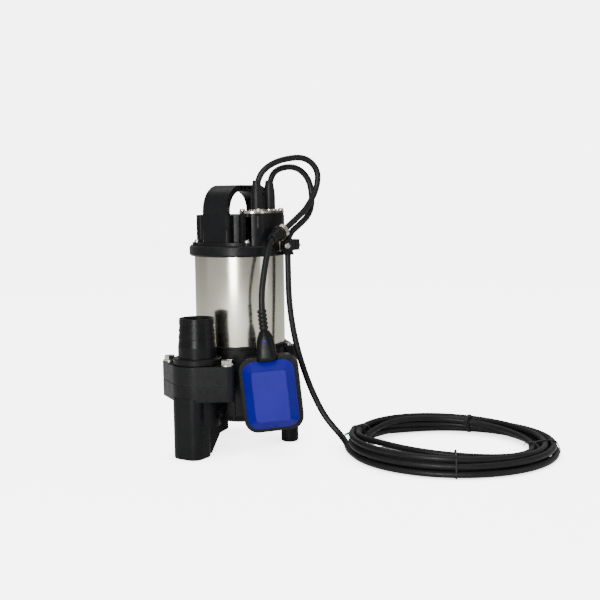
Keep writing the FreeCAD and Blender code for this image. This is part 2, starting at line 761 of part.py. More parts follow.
def bearing_balls(prefix, count):
    """The balls in the windows of the thin cage that spaces them."""
    middle = (SIZES[prefix + "_bearing_low"] + SIZES[prefix + "_bearing_high"]) / 2
    race, ball = prefix + "_race", prefix + "_ball"
    tall = 2 * SIZES[ball] + 2.4
    ring = cut(
        cylinder(race + " + 0.7", tall, (0, 0, middle - tall / 2)),
        cylinder(race + " - 0.7", 2 * tall, (0, 0, middle - tall)),
    )
    balls, windows = [], []
    reach = SIZES[race]
    for step in range(count):
        turn = FreeCAD.Rotation(UP, 360 * step / count)
        spot = turn.multVec(Vec(reach, 0, 0))
        balls.append(primitive("Sphere", {"Radius": ball}, (spot.x, spot.y, middle)))
        start = turn.multVec(Vec(reach - 3, 0, middle))
        outward = turn * FreeCAD.Rotation(Vec(0, 1, 0), 90)
        windows.append(cylinder(ball + " + ball_play", 6, tuple(start), outward))
    return group([cut(ring, *windows), *balls])


def seal_seat():
    return turned([
        ("shaft_thick + 0.6", "face_low"), ("lip_radius", "face_low"), ("lip_radius", "face_high - 1"),
        (11.5, "face_high - 1"), (11.5, "face_high"), ("shaft_thick + 0.6", "face_high"),
    ])


def seal_rotary():
    """The turning half of the mechanical seal, with its spring's bellows."""
    bore = "shaft_seal + hub_play"
    profile = [
        (bore, "face_high + 0.06"), (11, "face_high + 0.06"), (11, "face_high + 3"),
        (13, "face_high + 3"), (13, "face_high + 6"),
    ]
    for step in range(3):
        low = "face_high + %g" % (6 + 4 * step)
        profile += [(11, low), (11, low + " + 1.5"), (12.5, low + " + 2"), (12.5, low + " + 3.5")]
    profile += [(11, "bellows_high"), (bore, "bellows_high")]
    return turned(profile)


def lip_seal():
    return turned([
        ("shaft_seal + 0.05", "lip_low + 2"), ("shaft_seal + 0.8", "lip_low"), ("lip_radius", "lip_low"),
        ("lip_radius", "lip_low + 6.9"), ("shaft_seal + 2.5", "lip_low + 6.9"),
        ("shaft_seal + 1.2", "lip_low + 3"),
    ])


def impeller():
    """Open impeller: a disc with six swept vanes under it, and its nut's room in their middle."""
    hub = cylinder("hub_radius", "impeller_high - hub_low", (0, 0, "hub_low"))
    disc = cylinder("impeller_radius", "impeller_disc", (0, 0, "impeller_high - impeller_disc"))
    vanes = []
    for step in range(6):
        turn = FreeCAD.Rotation(UP, 60 * step) * FreeCAD.Rotation(UP, 24)
        vane = box(35, 3, "impeller_high - impeller_low - 2", (0, 0, 0), turn)
        turn = FreeCAD.Rotation(UP, 60 * step)
        vane.Placement.Base = turn.multVec(Vec(10.5, -6, SIZES["impeller_low"]))
        vanes.append(vane)
    rim = cylinder("impeller_radius", 60, (0, 0, "casing_low"))
    bore = cylinder("shaft_thin + hub_play", 60, (0, 0, "casing_low"))
    nut_room = cylinder("nut_radius + 0.6", "hub_low - casing_low", (0, 0, "casing_low"))
    return cut(common(fuse(hub, disc, *vanes), rim), bore, nut_room)


def impeller_nut():
    nut = hexagon("nut_radius", "nut_height", (0, 0, "hub_low - nut_height - 0.05"))
    return cut(nut, cylinder("shaft_thin + hub_play", 30, (0, 0, "suction_disc_low")))


# ---------------------------------------------------------------- top cover and cable entry


def oval(radius, half, height, low):
    """An upright oval about the cable entry."""
    x, y = SIZES["gland_x"], SIZES["gland_y"]
    centres = [(x, y - number(half), radius), (x, y + number(half), radius)]
    return hull_plate(centres, height, (0, 0, low))


def handle_arch():
    """The grip: a wide band bent into an arch over the cover."""
    low = 282
    width = 2 * SIZES["handle_half"]
    span = 2 * SIZES["handle_reach"]
    turn = FreeCAD.Rotation()
    outer = rounded(
        box(width, span, SIZES["handle_high"] - low, (-width / 2, -span / 2, low), turn),
        "handle_bend", crosswise(SIZES["handle_high"]),
    )
    thick = SIZES["handle_thick"]
    roof = SIZES["handle_high"] - thick
    floor = SIZES["cover_high"]
    inner = rounded(
        box(width + 2, span - 2 * thick, roof - floor + 8,
            (-width / 2 - 1, -span / 2 + thick, floor - 8), turn),
        SIZES["handle_bend"] - thick, crosswise(roof),
    )
    gap = common(inner, box(2 * width, 2 * span, 60, (-width, -span, floor)))
    pockets = []
    for side in (-1, 1):
        for step in range(-2, 3):
            x = side * (width / 2 + 1) - 5
            pockets.append(box(10, 7.4, 3.6, (x, 9.2 * step - 3.7, roof + 2.2)))
    return outer, gap, pockets


def crosswise(height):
    """A test for edges along X at a height."""
    def chosen(edge):
        size = edge.BoundBox
        return size.XLength > 1 > size.YLength and abs(size.ZMin - height) < 0.01
    return chosen


def handle_cover():
    """The moulded top: a lobed cap with the carrying handle and the cable entry boss."""
    height = "cover_high - ring_high"
    core = cylinder("core_radius", height, (0, 0, "ring_high"))
    half = SIZES["lobe_half"]
    reach = SIZES["lobe_reach"]
    lobes = rounded(
        box(2 * half, 2 * reach, height, (-half, -reach, "ring_high")), 4.5, upright
    )
    side = SIZES["side_half"]
    ear = common(
        cylinder("side_radius", height, (0, 0, "ring_high")),
        box(70, 2 * side, height, (-70, -side, "ring_high")),
    )
    boss = oval("gland_radius", "gland_half", "gland_high - ring_high", "ring_high")
    foot = cylinder("side_radius", "foot_high - ring_high", (0, 0, "ring_high"))
    feet = [
        cylinder(6.5, "foot_high - ring_high", (x, y, "ring_high")) for x, y in screw_spots()
    ]
    columns = [
        cylinder(9, "cover_high - ring_high", (0.76 * x, 0.76 * y, "ring_high"))
        for x, y in screw_spots()
    ]
    arch, gap, pockets = handle_arch()
    solid = fuse(core, lobes, ear, boss, foot, *feet, *columns, arch)
    cavity = cylinder("cavity_radius", "cavity_high - plate_high", (0, 0, "plate_high"))
    inlet = oval(
        "gland_radius - gland_wall", "gland_half", "gland_high - plate_high - 3.5", "plate_high"
    )
    seats, necks = [], []
    for y in boot_lines():
        seats.append(cylinder("boot_flange + 0.2", 8, ("gland_x", y, "gland_high - 1.5")))
        necks.append(cylinder("boot_radius + 0.3", 30, ("gland_x", y, "gland_high - 12")))
    drivers = [
        cylinder(5.6, 60, (1.02 * x, 1.02 * y, "foot_high")) for x, y in screw_spots()
    ]
    holes = [
        cylinder("screw_radius + bolt_play", 30, (x, y, "plate_high")) for x, y in screw_spots()
    ]
    posts = [
        cylinder(4.6, 16, (x, y, "gland_high - 18")) for x, y in gland_screw_spots()
    ]
    threads = [
        cylinder("small_radius + bolt_play", 14, (x, y, "gland_high - 12"))
        for x, y in gland_screw_spots()
    ]
    shell = cut(solid, cavity, inlet, gap, *seats, *necks, *drivers, *holes, *pockets)
    return cut(fuse(shell, *posts), *threads)


def boot_lines():
    return ("boot_y - boot_spacing", "boot_y + boot_spacing")


def gland_screw_spots():
    x, y = SIZES["gland_x"], SIZES["gland_y"]
    return [(x + dx, y + dy) for dx in (-12, 12) for dy in (-27, 27)]


def cover_screws():
    return group([
        screw("screw_radius", 11, "head_radius", "head_height", (x, y, "foot_high"))
        for x, y in screw_spots()
    ])


def gland_gasket():
    plate = oval("gland_radius", "gland_half", "gasket_thick", "gland_high")
    holes = [cylinder("boot_radius + 0.2", 20, ("gland_x", y, "gland_high - 5")) for y in boot_lines()]
    holes += [
        cylinder("small_radius + bolt_play", 20, (x, y, "gland_high - 5"))
        for x, y in gland_screw_spots()
    ]
    return cut(plate, *holes)


def gland_plate():
    low = "gland_high + gasket_thick"
    plate = rounded(
        oval("gland_radius + 0.6", "gland_half", "gland_plate", low), 0.9,
        level(number(low) + SIZES["gland_plate"]),
    )
    collars = [
        cylinder("boot_radius + 2.6", 1.5, ("gland_x", y, "gland_high + gasket_thick + gland_plate"))
        for y in boot_lines()
    ]
    holes = [cylinder("boot_radius + 0.2", 40, ("gland_x", y, "gland_high - 5")) for y in boot_lines()]
    holes += [
        cylinder("small_radius + bolt_play", 20, (x, y, "gland_high - 5"))
        for x, y in gland_screw_spots()
    ]
    return cut(fuse(plate, *collars), *holes)


def gland_screws():
    high = "gland_high + gasket_thick + gland_plate"
    return group([
        screw("small_radius", 14, "small_head", "small_head_height", (x, y, high))
        for x, y in gland_screw_spots()
    ])


def cable_boot(line):
    """A rubber boot: a flange under the plate, a thick neck and a tapered tip."""
    body = turned([
        ("cable_radius", "gland_high - 8"), ("boot_radius - 1", "gland_high - 8"),
        ("boot_radius", "gland_high - 6"), ("boot_radius", "gland_high - 1.5"),
        ("boot_flange", "gland_high - 1.5"), ("boot_flange", "gland_high"),
        ("boot_radius", "gland_high"), ("boot_radius", "gland_high + 22"),
        ("boot_radius - 0.6", "gland_high + 30"), ("boot_top + 0.6", "boot_high - 4"),
        ("boot_top", "boot_high"), ("cable_radius", "boot_high"),
    ])
    return place(body, ("gland_x", line, 0))


def capacitor():
    along_y = FreeCAD.Rotation(Vec(1, 0, 0), 90)
    can = cylinder("can_radius", 58, (-16, 29, "can_level"), along_y)
    lugs = [box(0.8, 5, 6, (x, 29, "can_level - 3")) for x in (-20, -12)]
    return fuse(rounded(can, 1.5, lambda edge: edge.BoundBox.YLength < 0.01), *lugs)


# ---------------------------------------------------------------- cable clamp and grommet

GROMMET_AT = Vec(69.5, -4, 279)
GROMMET_WAY = Vec(0, -0.94, -0.342).normalize()
GROMMET_TURN = FreeCAD.Rotation(UP, GROMMET_WAY)


def cable_clamp():
    """The split block that grips the mains cable beside the collar."""
    height = "clamp_high - clamp_low"
    block = cylinder("clamp_radius", height, ("clamp_x", "clamp_y", "clamp_low"))
    lip = cylinder("clamp_radius + 1", 2.5, ("clamp_x", "clamp_y", "clamp_low"))
    ears = rounded(box(12.2, 22, 14, (71.8, -5.2, "clamp_low + 6")), 1.5, upright)
    cable = cylinder("cable_radius + hub_play", 60, ("clamp_x", "clamp_y", "clamp_low - 20"))
    slot = box(20, 1.6, 40, ("clamp_x", "clamp_y - 0.8", "clamp_low - 10"))
    collar_side = box(20, 60, 60, ("ring_radius + 0.9 - 20", -20, "clamp_low - 20"))
    along_y = FreeCAD.Rotation(Vec(1, 0, 0), 90)
    bolt = cylinder("small_radius + bolt_play", 60, (79, 40, "clamp_level"), along_y)
    tail_side = box(10.8, 10, 40, (64.8, -9.6, "clamp_low - 5"))
    return cut(fuse(block, lip, ears), cable, slot, collar_side, bolt, tail_side)


def clamp_screw():
    head_out = FreeCAD.Rotation(Vec(1, 0, 0), 90)
    return screw("small_radius", 27, 3.9, 2.9, (79, -5.2, "clamp_level"), head_out)


def clamp_nut():
    along_y = FreeCAD.Rotation(Vec(1, 0, 0), 90)
    nut = hexagon(4.3, 3.2, (79, 20, "clamp_level"), along_y)
    bore = cylinder("small_radius + hub_play", 40, (79, 40, "clamp_level"), along_y)
    return cut(nut, bore)


def on_grommet(item, along):
    """Stand an item on the grommet's slanting axis."""
    return place(item, tuple(GROMMET_AT + GROMMET_WAY * along), GROMMET_TURN)


def float_cable_grommet():
    """The ribbed rubber sleeve that holds the float's cable where it swings."""
    rear, front = -4, 24
    smooth = 9
    profile = [("cable_radius + hub_play", 0), ("grommet_radius", 0), ("grommet_radius", smooth)]
    ribs = 5
    pitch = (front - rear - smooth) / ribs
    for step in range(ribs):
        start = smooth + pitch * step
        size = "grommet_radius - %g" % (0.7 * step)
        profile += [("grommet_radius - %g" % (0.7 * step + 1.1), start)]
        profile += [("grommet_radius - %g" % (0.7 * step + 1.1), start + 1.2)]
        profile += [(size, start + 1.2), (size, start + pitch)]
    profile.append(("cable_radius + hub_play", front - rear))
    return on_grommet(turned(profile), rear)


def grommet_strap():
    """The metal band round the grommet, whose tail runs down to the collar."""
    rear = -1.5
    band = on_grommet(turned([
        ("grommet_radius", 0), ("grommet_radius + strap_thick", 0),
        ("grommet_radius + strap_thick", "strap_width"), ("grommet_radius", "strap_width"),
    ]), rear)
    tail = box("strap_thick", "strap_width - 1", 17, (69, -9.5, 254))
    foot = box("clamp_x - clamp_radius + 5.4 - ring_radius - 0.9", "strap_width - 1", "strap_thick",
               ("ring_radius + 0.9", -9.5, 254))
    inside = on_grommet(cylinder("grommet_radius", 60), -30)
    return cut(fuse(band, tail, foot), inside)


# ---------------------------------------------------------------- float switch

FLOAT_PLACE = FreeCAD.Placement(
    Vec(81.4, -53.7, 79.2),
    FreeCAD.Rotation(UP, 31) * FreeCAD.Rotation(Vec(0, 1, 0), -5.7),
)


def in_float(item):
    """Carry an item from the float's own frame (X right, Y inwards, Z up) into place."""
    doc.recompute()
    item.Placement = FLOAT_PLACE * item.Placement
    return item


def slab(inset, low, high, radius):
    """A rounded block standing in the float, from one depth to another."""
    wide = SIZES["float_width"] - 2 * inset
    foot = SIZES["float_height"] / 2 + SIZES["float_drop"] - inset
    tall = SIZES["float_height"] / 2 + foot - inset
    block = box(wide, high - low, tall, (-wide / 2, low, -foot))
    def along_depth(edge):
        return edge.BoundBox.YLength > 1 > edge.BoundBox.XLength + edge.BoundBox.ZLength
    return rounded(block, radius, along_depth)


def float_shell_back():
    """The black half of the float, with the seats of the switch inside."""
    half, wall, round_ = SIZES["float_depth"] / 2, SIZES["float_wall"], SIZES["float_round"]
    split = -SIZES["float_split"]
    outside = slab(0, split, half, round_)
    outside = rounded(outside, 3, lambda edge: edge.BoundBox.YMin > half - 0.01)
    hollow = slab(wall, 0, half - wall, round_ - wall)
    mouth = slab(wall + SIZES["rim"], split - 1, 1, round_ - wall - SIZES["rim"])
    shelf = box(20, 8.6, 12, (-10, 8, 16))
    saddle = box(10, 9.6, 30, (-5, 7, -32))
    weight_rib = box(24, 3, 8, (-12, half - wall - 3, -44.3))
    hooks = fuse(shelf, saddle, weight_rib)
    race = cylinder("ball_radius + race_play + race_wall", 60, (0, 0, -40))
    lead = cylinder("cable_radius", 30, (0, 0, 30))
    return in_float(cut(fuse(cut(outside, hollow, mouth), cut(hooks, race)), lead))


def float_shell_front():
    """The blue half, set in from the rim, with a bevelled border and a raised panel."""
    half, wall, round_ = SIZES["float_depth"] / 2, SIZES["float_wall"], SIZES["float_round"]
    split, rim = -SIZES["float_split"], SIZES["rim"]
    face = 1 - half
    corner = round_ - 3
    outside = bevelled(slab(rim, face, split, corner), 11.5, face)
    panel = slab(rim + 11, -half, 4 - half, 5)
    hollow = slab(rim + wall, face + wall, split + 1, corner - wall)
    return in_float(cut(fuse(outside, panel), bevelled(hollow, 10, face + wall)))


def bevelled(block, width, face):
    """Bevel the edges round a block's front face."""
    doc.recompute()
    item = doc.addObject("Part::Chamfer", "Bevel")
    item.Base = block
    edges = enumerate(block.Shape.Edges, start=1)
    item.Edges = [(i, width, width) for i, edge in edges if edge.BoundBox.YMax < face + 0.01]
    return item


def float_neck():
    """The tapering neck that stands on the float and takes the cable."""
    low = SIZES["float_height"] / 2 - SIZES["rim"]
    high = SIZES["float_height"] / 2 + SIZES["neck_length"]
    top = SIZES["neck_top"] / 2
    wide, deep = SIZES["neck_width"] / 2, SIZES["neck_depth"] / 2
    neck = doc.addObject("Part::Wedge", "Neck")
    sizes = {
        "Xmin": -wide, "Xmax": wide, "Zmin": -deep, "Zmax": deep, "Ymin": 0, "Ymax": high - low,
        "X2min": -top, "X2max": top, "Z2min": -top, "Z2max": top,
    }
    for name, size in sizes.items():
        bind(neck, name, size)
    place(neck, (0, 0, low), FreeCAD.Rotation(Vec(1, 0, 0), 90))
    doc.recompute()
    slanting = rounded(neck, 2.6, lambda edge: edge.BoundBox.ZLength > 20)
    split = -SIZES["float_split"]
    step = box(60, 60, SIZES["rim"] + 0.001, (-30, split, low - 0.001))
    bore = cylinder("relief_radius", 60, (0, 0, high - 9))
    return in_float(cut(slanting, step, bore))


def float_strain_relief():
    """The ribbed rubber sleeve in the top of the neck."""
    low = SIZES["float_height"] / 2 + SIZES["neck_length"] - 9
    ribs = 7
    pitch = (SIZES["relief_length"] - 1) / ribs
    profile = [(0, low), ("relief_radius", low), ("relief_radius", low + 10)]
    for step in range(ribs):
        start = low + 10 + pitch * step
        profile += [("relief_radius - 1.1", start), ("relief_radius - 1.1", start + 1.3)]
        profile += [("relief_radius", start + 1.3), ("relief_radius", start + pitch)]
    top = low + 10 + pitch * ribs
    hole = "cable_radius + hub_play"
    profile += [(hole, top), (hole, top - 13), (0, top - 13)]
    return in_float(turned(profile))


def switch_body():
    """The microswitch, with the two lugs of its lever and the button under it."""
    case = box(28, 16, 20, (-14, -8, 12))
    lugs = [box(5, 1.6, 10, (-14.5, y, 2.6)) for y in (-7.6, 6)]
    button = cylinder(1.5, 4, (6, 0, 8.6))
    pin = cylinder(1.05, 30, (-12, 15, 4.8), FreeCAD.Rotation(Vec(1, 0, 0), 90))
    return in_float(cut(fuse(case, *lugs, button), pin))


def switch_lever():
    """The sprung lever that the ball lifts against the button."""
    blade = box(24, 10, 1.6, (-12, -5, 4))
    nose = cylinder(3, 7, (0, 0, -2.6))
    pin = cylinder(1, 15.2, (-12, 7.6, 4.8), FreeCAD.Rotation(Vec(1, 0, 0), 90))
    return in_float(fuse(blade, nose, pin))


def ball_race():
    """The tube the ball rolls in, closed at the bottom."""
    inner = "ball_radius + race_play"
    return in_float(turned([
        (0, "0 - 36"), (inner + " + race_wall", "0 - 36"), (inner + " + race_wall", "race_high"),
        (inner, "race_high"), (inner, "0 - 34"), (0, "0 - 34"),
    ]))


def switch_ball():
    return in_float(primitive("Sphere", {"Radius": "ball_radius"}, (0, 0, -25.9)))


def float_weight():
    return in_float(rounded(box(30, 13.5, 6.8, (-15, 0, -44)), 1.5, upright))


# ---------------------------------------------------------------- cables

POWER_ROUTE = [
    (38.5, 16, 333), (38.5, 16, 352), (47, 25, 363), (64, 42, 364), (76, 56, 347),
    (80, 57, 320), (80.5, 48.6, 300), (76.5, 28.6, 287), (71.8, 6, 274), (71.8, 6, 240),
    (73.5, 4.5, 184), (82, 7, 130), (98, 11, 80), (120, 15, 36), (141, 18.5, 14),
    (164, 28.5, 8),
]

FLOAT_ROUTE = [
    (38.5, -14, 333), (38.5, -14, 351), (48, -5, 366), (64, 12, 376), (81, 38, 379),
    (92, 53, 361), (91, 50, 334), (84.5, 35.4, 309), (76.5, 26.4, 297.5),
    (69.5, 2.58, 281.39), (69.5, -26.56, 270.79),
]

HANGING_ROUTE = [(68.2, -35.9, 258.5), (69.4, -48.8, 226), (71.8, -59.4, 194), (73.6, -58.4, 171.2)]


def coil_ring(low, height):
    """The coil of cable as one closed ring, wider at its far end."""
    across = Vec(0.857, 0.515, 0).normalize()
    centre = Vec(281, 64, low)
    long, wide = SIZES["coil_half_length"], SIZES["coil_half_width"]
    band, spread = SIZES["coil_band"], SIZES["coil_spread"]
    outer = Part.Ellipse(Vec(0, 0, 0), long, wide)
    inner = Part.Ellipse(Vec(-spread, 0, 0), long - band - spread, wide - band - 2)
    wires = [Part.Wire(curve.toShape()) for curve in (outer, inner)]
    ring = Part.Face(wires[0]).extrude(Vec(0, 0, height)).cut(
        Part.Face(wires[1]).extrude(Vec(0, 0, height)))
    ring = ring.makeFillet(6, [edge for edge in ring.Edges if edge.BoundBox.ZLength < 1])
    turn = FreeCAD.Rotation(Vec(1, 0, 0), across)
    ring.Placement = FreeCAD.Placement(centre, turn)
    return ring


def coil_tie(angle, width):
    """One tie round the coil's band, at an angle from its far end."""
    across = FreeCAD.Rotation(Vec(1, 0, 0), Vec(0.857, 0.515, 0))
    turn = math.radians(angle)
    long, wide = SIZES["coil_half_length"], SIZES["coil_half_width"]
    rim = Vec(long * math.cos(turn), wide * math.sin(turn), 0)
    inner_long = long - SIZES["coil_band"] - SIZES["coil_spread"]
    inner_wide = wide - SIZES["coil_band"] - 2
    hole = Vec(inner_long * math.cos(turn) - SIZES["coil_spread"], inner_wide * math.sin(turn), 0)
    middle = (rim + hole) * 0.5
    span = (rim - hole).Length
    heading = math.degrees(math.atan2(rim.y - hole.y, rim.x - hole.x))
    size, thick = SIZES["coil_height"], 1.2
    loop = box(span + 2 * thick, width, size + 2 * thick, (-span / 2 - thick, -width / 2, 0.1))
    band = rounded(loop, 6, lambda edge: edge.BoundBox.YLength > 1 > edge.BoundBox.XLength
                   and edge.BoundBox.ZLength < 1)
    hole_box = box(span, width + 2, size, (-span / 2, -width / 2 - 1, 0.1 + thick))
    void = rounded(hole_box, 5, lambda edge: edge.BoundBox.YLength > 1 > edge.BoundBox.XLength
                   and edge.BoundBox.ZLength < 1)
    tie = cut(band, void)
    at = Vec(281, 64, 0) + across.multVec(middle)
    return place(tie, tuple(at), across * FreeCAD.Rotation(UP, heading))


# ---------------------------------------------------------------- the pump

part("motor_sleeve", motor_sleeve())
part("upper_bracket", upper_bracket())
part("lower_bracket", lower_bracket())
part("sleeve_seals", sleeve_seals())
part("volute_casing", volute_casing())
part("casing_screws", casing_screws())
part("suction_cover", suction_cover())
part("suction_cover_screws", suction_screws())
part("coupling_flange", coupling_flange())
part("flange_gasket", flange_gasket())
part("hose_coupling", hose_coupling())
part("flange_bolts", flange_bolts())
part("flange_washers", flange_washers())
part("seal_plate", seal_plate())
part("seal_seat", seal_seat())
part("seal_rotary", seal_rotary())
part("lip_seal", lip_seal())
part("stator_core", stator_core())
part("stator_windings", stator_windings())
part("thermal_protector", thermal_protector())
part("shaft", shaft())
part("rotor_core", rotor_core())
part("rotor_end_rings", rotor_end_rings())
part("impeller", impeller())
part("impeller_nut", impeller_nut())
for end, count in (("upper", 9), ("lower", 8)):
    part(end + "_bearing_outer", bearing_outer(end))
    part(end + "_bearing_inner", bearing_inner(end))
    part(end + "_bearing_balls", bearing_balls(end, count))
part("handle_cover", handle_cover())
part("cover_screws", cover_screws())
part("gland_gasket", gland_gasket())
part("gland_plate", gland_plate())
part("gland_screws", gland_screws())
float_line, power_line = boot_lines()
part("float_cable_boot", cable_boot(float_line))
part("power_cable_boot", cable_boot(power_line))
part("capacitor", capacitor())
part("cable_clamp", cable_clamp())
part("clamp_screw", clamp_screw())
part("clamp_nut", clamp_nut())
part("float_cable_grommet", float_cable_grommet())
part("grommet_strap", grommet_strap())
part("float_shell_back", float_shell_back())
part("float_shell_front", float_shell_front())
part("float_neck", float_neck())
part("float_strain_relief", float_strain_relief())
part("switch_body", switch_body())
part("switch_lever", switch_lever())
part("ball_race", ball_race())
part("switch_ball", switch_ball())
part("float_weight", float_weight())
part("power_cable", tube(POWER_ROUTE, SIZES["cable_radius"], "power_cable"))
part("float_cable", tube(FLOAT_ROUTE, SIZES["cable_radius"], "float_cable"))
part("float_cable_hanging", tube(HANGING_ROUTE, SIZES["cable_radius"], "float_cable_hanging"))
part("power_cable_coil", feature(coil_ring(1.3, SIZES["coil_height"])))
part("cable_ties", group([
    coil_tie(angle, width) for angle, width in ((82, 4.5), (168, 3), (262, 3), (12, 3))
]))

doc.recompute()
for item in doc.Objects:
    if {"Invalid", "Error"} & set(item.State):
        raise RuntimeError("%s (%s) failed: %s" % (item.Label, item.Name, item.State))
for name, item in PARTS.items():
    if item.Shape.isNull() or not item.Shape.isValid():
        raise RuntimeError("%s has no valid shape" % name)
    item.Shape.exportStep("parts/%s.step" % name)
    print("%s: %d solid(s), %.1f cm3" % (name, len(item.Shape.Solids), item.Shape.Volume / 1000))
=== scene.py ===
import json
import math

import bmesh
import bpy
from mathutils import Matrix, Vector


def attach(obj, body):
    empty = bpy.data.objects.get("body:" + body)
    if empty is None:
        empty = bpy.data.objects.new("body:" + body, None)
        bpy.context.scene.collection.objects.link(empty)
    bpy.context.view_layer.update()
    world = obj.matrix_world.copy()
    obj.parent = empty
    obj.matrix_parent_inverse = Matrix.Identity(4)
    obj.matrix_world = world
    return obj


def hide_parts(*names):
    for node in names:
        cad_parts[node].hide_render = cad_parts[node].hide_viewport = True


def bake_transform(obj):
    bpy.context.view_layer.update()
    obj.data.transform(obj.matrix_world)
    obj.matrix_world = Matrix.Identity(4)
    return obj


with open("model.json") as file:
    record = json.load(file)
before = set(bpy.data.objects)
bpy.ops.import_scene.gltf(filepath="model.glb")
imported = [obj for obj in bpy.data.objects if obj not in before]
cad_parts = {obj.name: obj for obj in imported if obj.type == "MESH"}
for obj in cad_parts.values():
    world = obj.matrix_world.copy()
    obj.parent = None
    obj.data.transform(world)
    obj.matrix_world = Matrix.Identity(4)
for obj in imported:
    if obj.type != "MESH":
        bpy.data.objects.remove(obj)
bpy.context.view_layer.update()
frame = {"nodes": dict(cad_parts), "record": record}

UP = Vector((0, 0, 1))
MM = 0.001
TURN_OF_VIEW = math.radians(31)
ACROSS = Vector((math.cos(TURN_OF_VIEW), math.sin(TURN_OF_VIEW), 0))
TOWARDS = Vector((math.sin(TURN_OF_VIEW), -math.cos(TURN_OF_VIEW), 0))
scene = bpy.context.scene


# ---------------------------------------------------------------- camera


# Fitted to the photograph's outline: how far the camera stands back, to the right and up, in
# metres, and how far it looks down and leans, in degrees.
CAMERA_BACK, CAMERA_RIGHT, CAMERA_UP = 1.3256, 0.0797, 0.327
CAMERA_PITCH, CAMERA_ROLL = 6.06, 0.76


def make_camera():
    """Stands a little above the pump and looks slightly down at it, from the right of its outlet."""
    data = bpy.data.cameras.new("camera")
    data.lens, data.sensor_width = 60, 36
    data.clip_start, data.clip_end = 0.05, 20
    camera = bpy.data.objects.new("camera", data)
    scene.collection.objects.link(camera)
    place = TOWARDS * CAMERA_BACK + ACROSS * CAMERA_RIGHT + UP * CAMERA_UP
    pitch, roll = math.radians(CAMERA_PITCH), math.radians(CAMERA_ROLL)
    ahead = -TOWARDS * math.cos(pitch) - UP * math.sin(pitch)
    above = UP * math.cos(pitch) - TOWARDS * math.sin(pitch)
    right = ACROSS * math.cos(roll) - above * math.sin(roll)
    above = above * math.cos(roll) + ACROSS * math.sin(roll)
    camera.matrix_world = Matrix((
        (right.x, above.x, -ahead.x, place.x),
        (right.y, above.y, -ahead.y, place.y),
        (right.z, above.z, -ahead.z, place.z),
        (0, 0, 0, 1),
    ))
    scene.camera = camera


make_camera()


# ---------------------------------------------------------------- mesh and curve helpers


def link(name, data, body="pump"):
    piece = bpy.data.objects.new(name, data)
    scene.collection.objects.link(piece)
    if body:
        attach(piece, body)
    return piece


def to_object(name, bm, body="pump", smooth=True):
    """Turn a bmesh into a piece that rides on a body."""
    bmesh.ops.recalc_face_normals(bm, faces=bm.faces)
    data = bpy.data.meshes.new(name)
    bm.to_mesh(data)
    bm.free()
    for face in data.polygons:
        face.use_smooth = smooth
    return link(name, data, body)


def spline_curve(name, points):
    """A NURBS line of order three through the air, clamped at its ends."""
    data = bpy.data.curves.new(name, "CURVE")
    data.dimensions = "3D"
    data.resolution_u = 8
    spline = data.splines.new("NURBS")
    spline.points.add(len(points) - 1)
    for point, place in zip(spline.points, points):
        point.co = (*place, 1)
    spline.order_u = 3
    spline.use_endpoint_u = True
    return data


def line_of(points):
    """The points along a spline, as a bevel-less curve gives them."""
    data = spline_curve("line", points)
    holder = bpy.data.objects.new("line", data)
    mesh = bpy.data.meshes.new_from_object(holder)
    line = [vertex.co.copy() for vertex in mesh.vertices]
    bpy.data.objects.remove(holder)
    bpy.data.meshes.remove(mesh)
    bpy.data.curves.remove(data)
    return line


def frames_along(line, start_side):
    """Heading and two sides at each point of a line, without twist."""
    side = start_side
    for i, place in enumerate(line):
        before, after = line[max(i - 1, 0)], line[min(i + 1, len(line) - 1)]
        heading = (after - before).normalized()
        side = (side - heading * side.dot(heading)).normalized()
        yield place, heading, side, heading.cross(side)


def tube_bmesh(line, radius, count=20, start_side=Vector((1, 0, 0))):
    """A closed round tube; radius is a number or a function of the share of the way along."""
    bm = bmesh.new()
    rings = []
    size = radius if callable(radius) else lambda share: radius
    last = len(line) - 1
    for i, (place, _, side, other) in enumerate(frames_along(line, start_side)):
        ring = []
        for step in range(count):
            turn = 2 * math.pi * step / count
            spoke = side * math.cos(turn) + other * math.sin(turn)
            ring.append(bm.verts.new(place + spoke * size(i / last)))
        rings.append(ring)
    for one, two in zip(rings, rings[1:]):
        for step in range(count):
            after = (step + 1) % count
            bm.faces.new((one[step], one[after], two[after], two[step]))
    bm.faces.new(list(reversed(rings[0])))
    bm.faces.new(rings[-1])
    return bm


def block_bmesh(size, at=(0, 0, 0), turn=None, edge=0.0, cuts=2):
    """A block with rounded edges."""
    bm = bmesh.new()
    bmesh.ops.create_cube(bm, size=1)
    bmesh.ops.scale(bm, vec=size, verts=bm.verts)
    if edge:
        bmesh.ops.bevel(bm, geom=bm.edges[:], offset=edge, segments=cuts, profile=0.5,
                        affect="EDGES")
    matrix = Matrix.Translation(at) @ (turn or Matrix.Identity(3)).to_4x4()
    bmesh.ops.transform(bm, matrix=matrix, verts=bm.verts)
    return bm


def join_bmesh(parts):
    whole = bmesh.new()
    for bm in parts:
        data = bpy.data.meshes.new("part")
        bm.to_mesh(data)
        bm.free()
        whole.from_mesh(data)
        bpy.data.meshes.remove(data)
    return whole


# ---------------------------------------------------------------- the cords

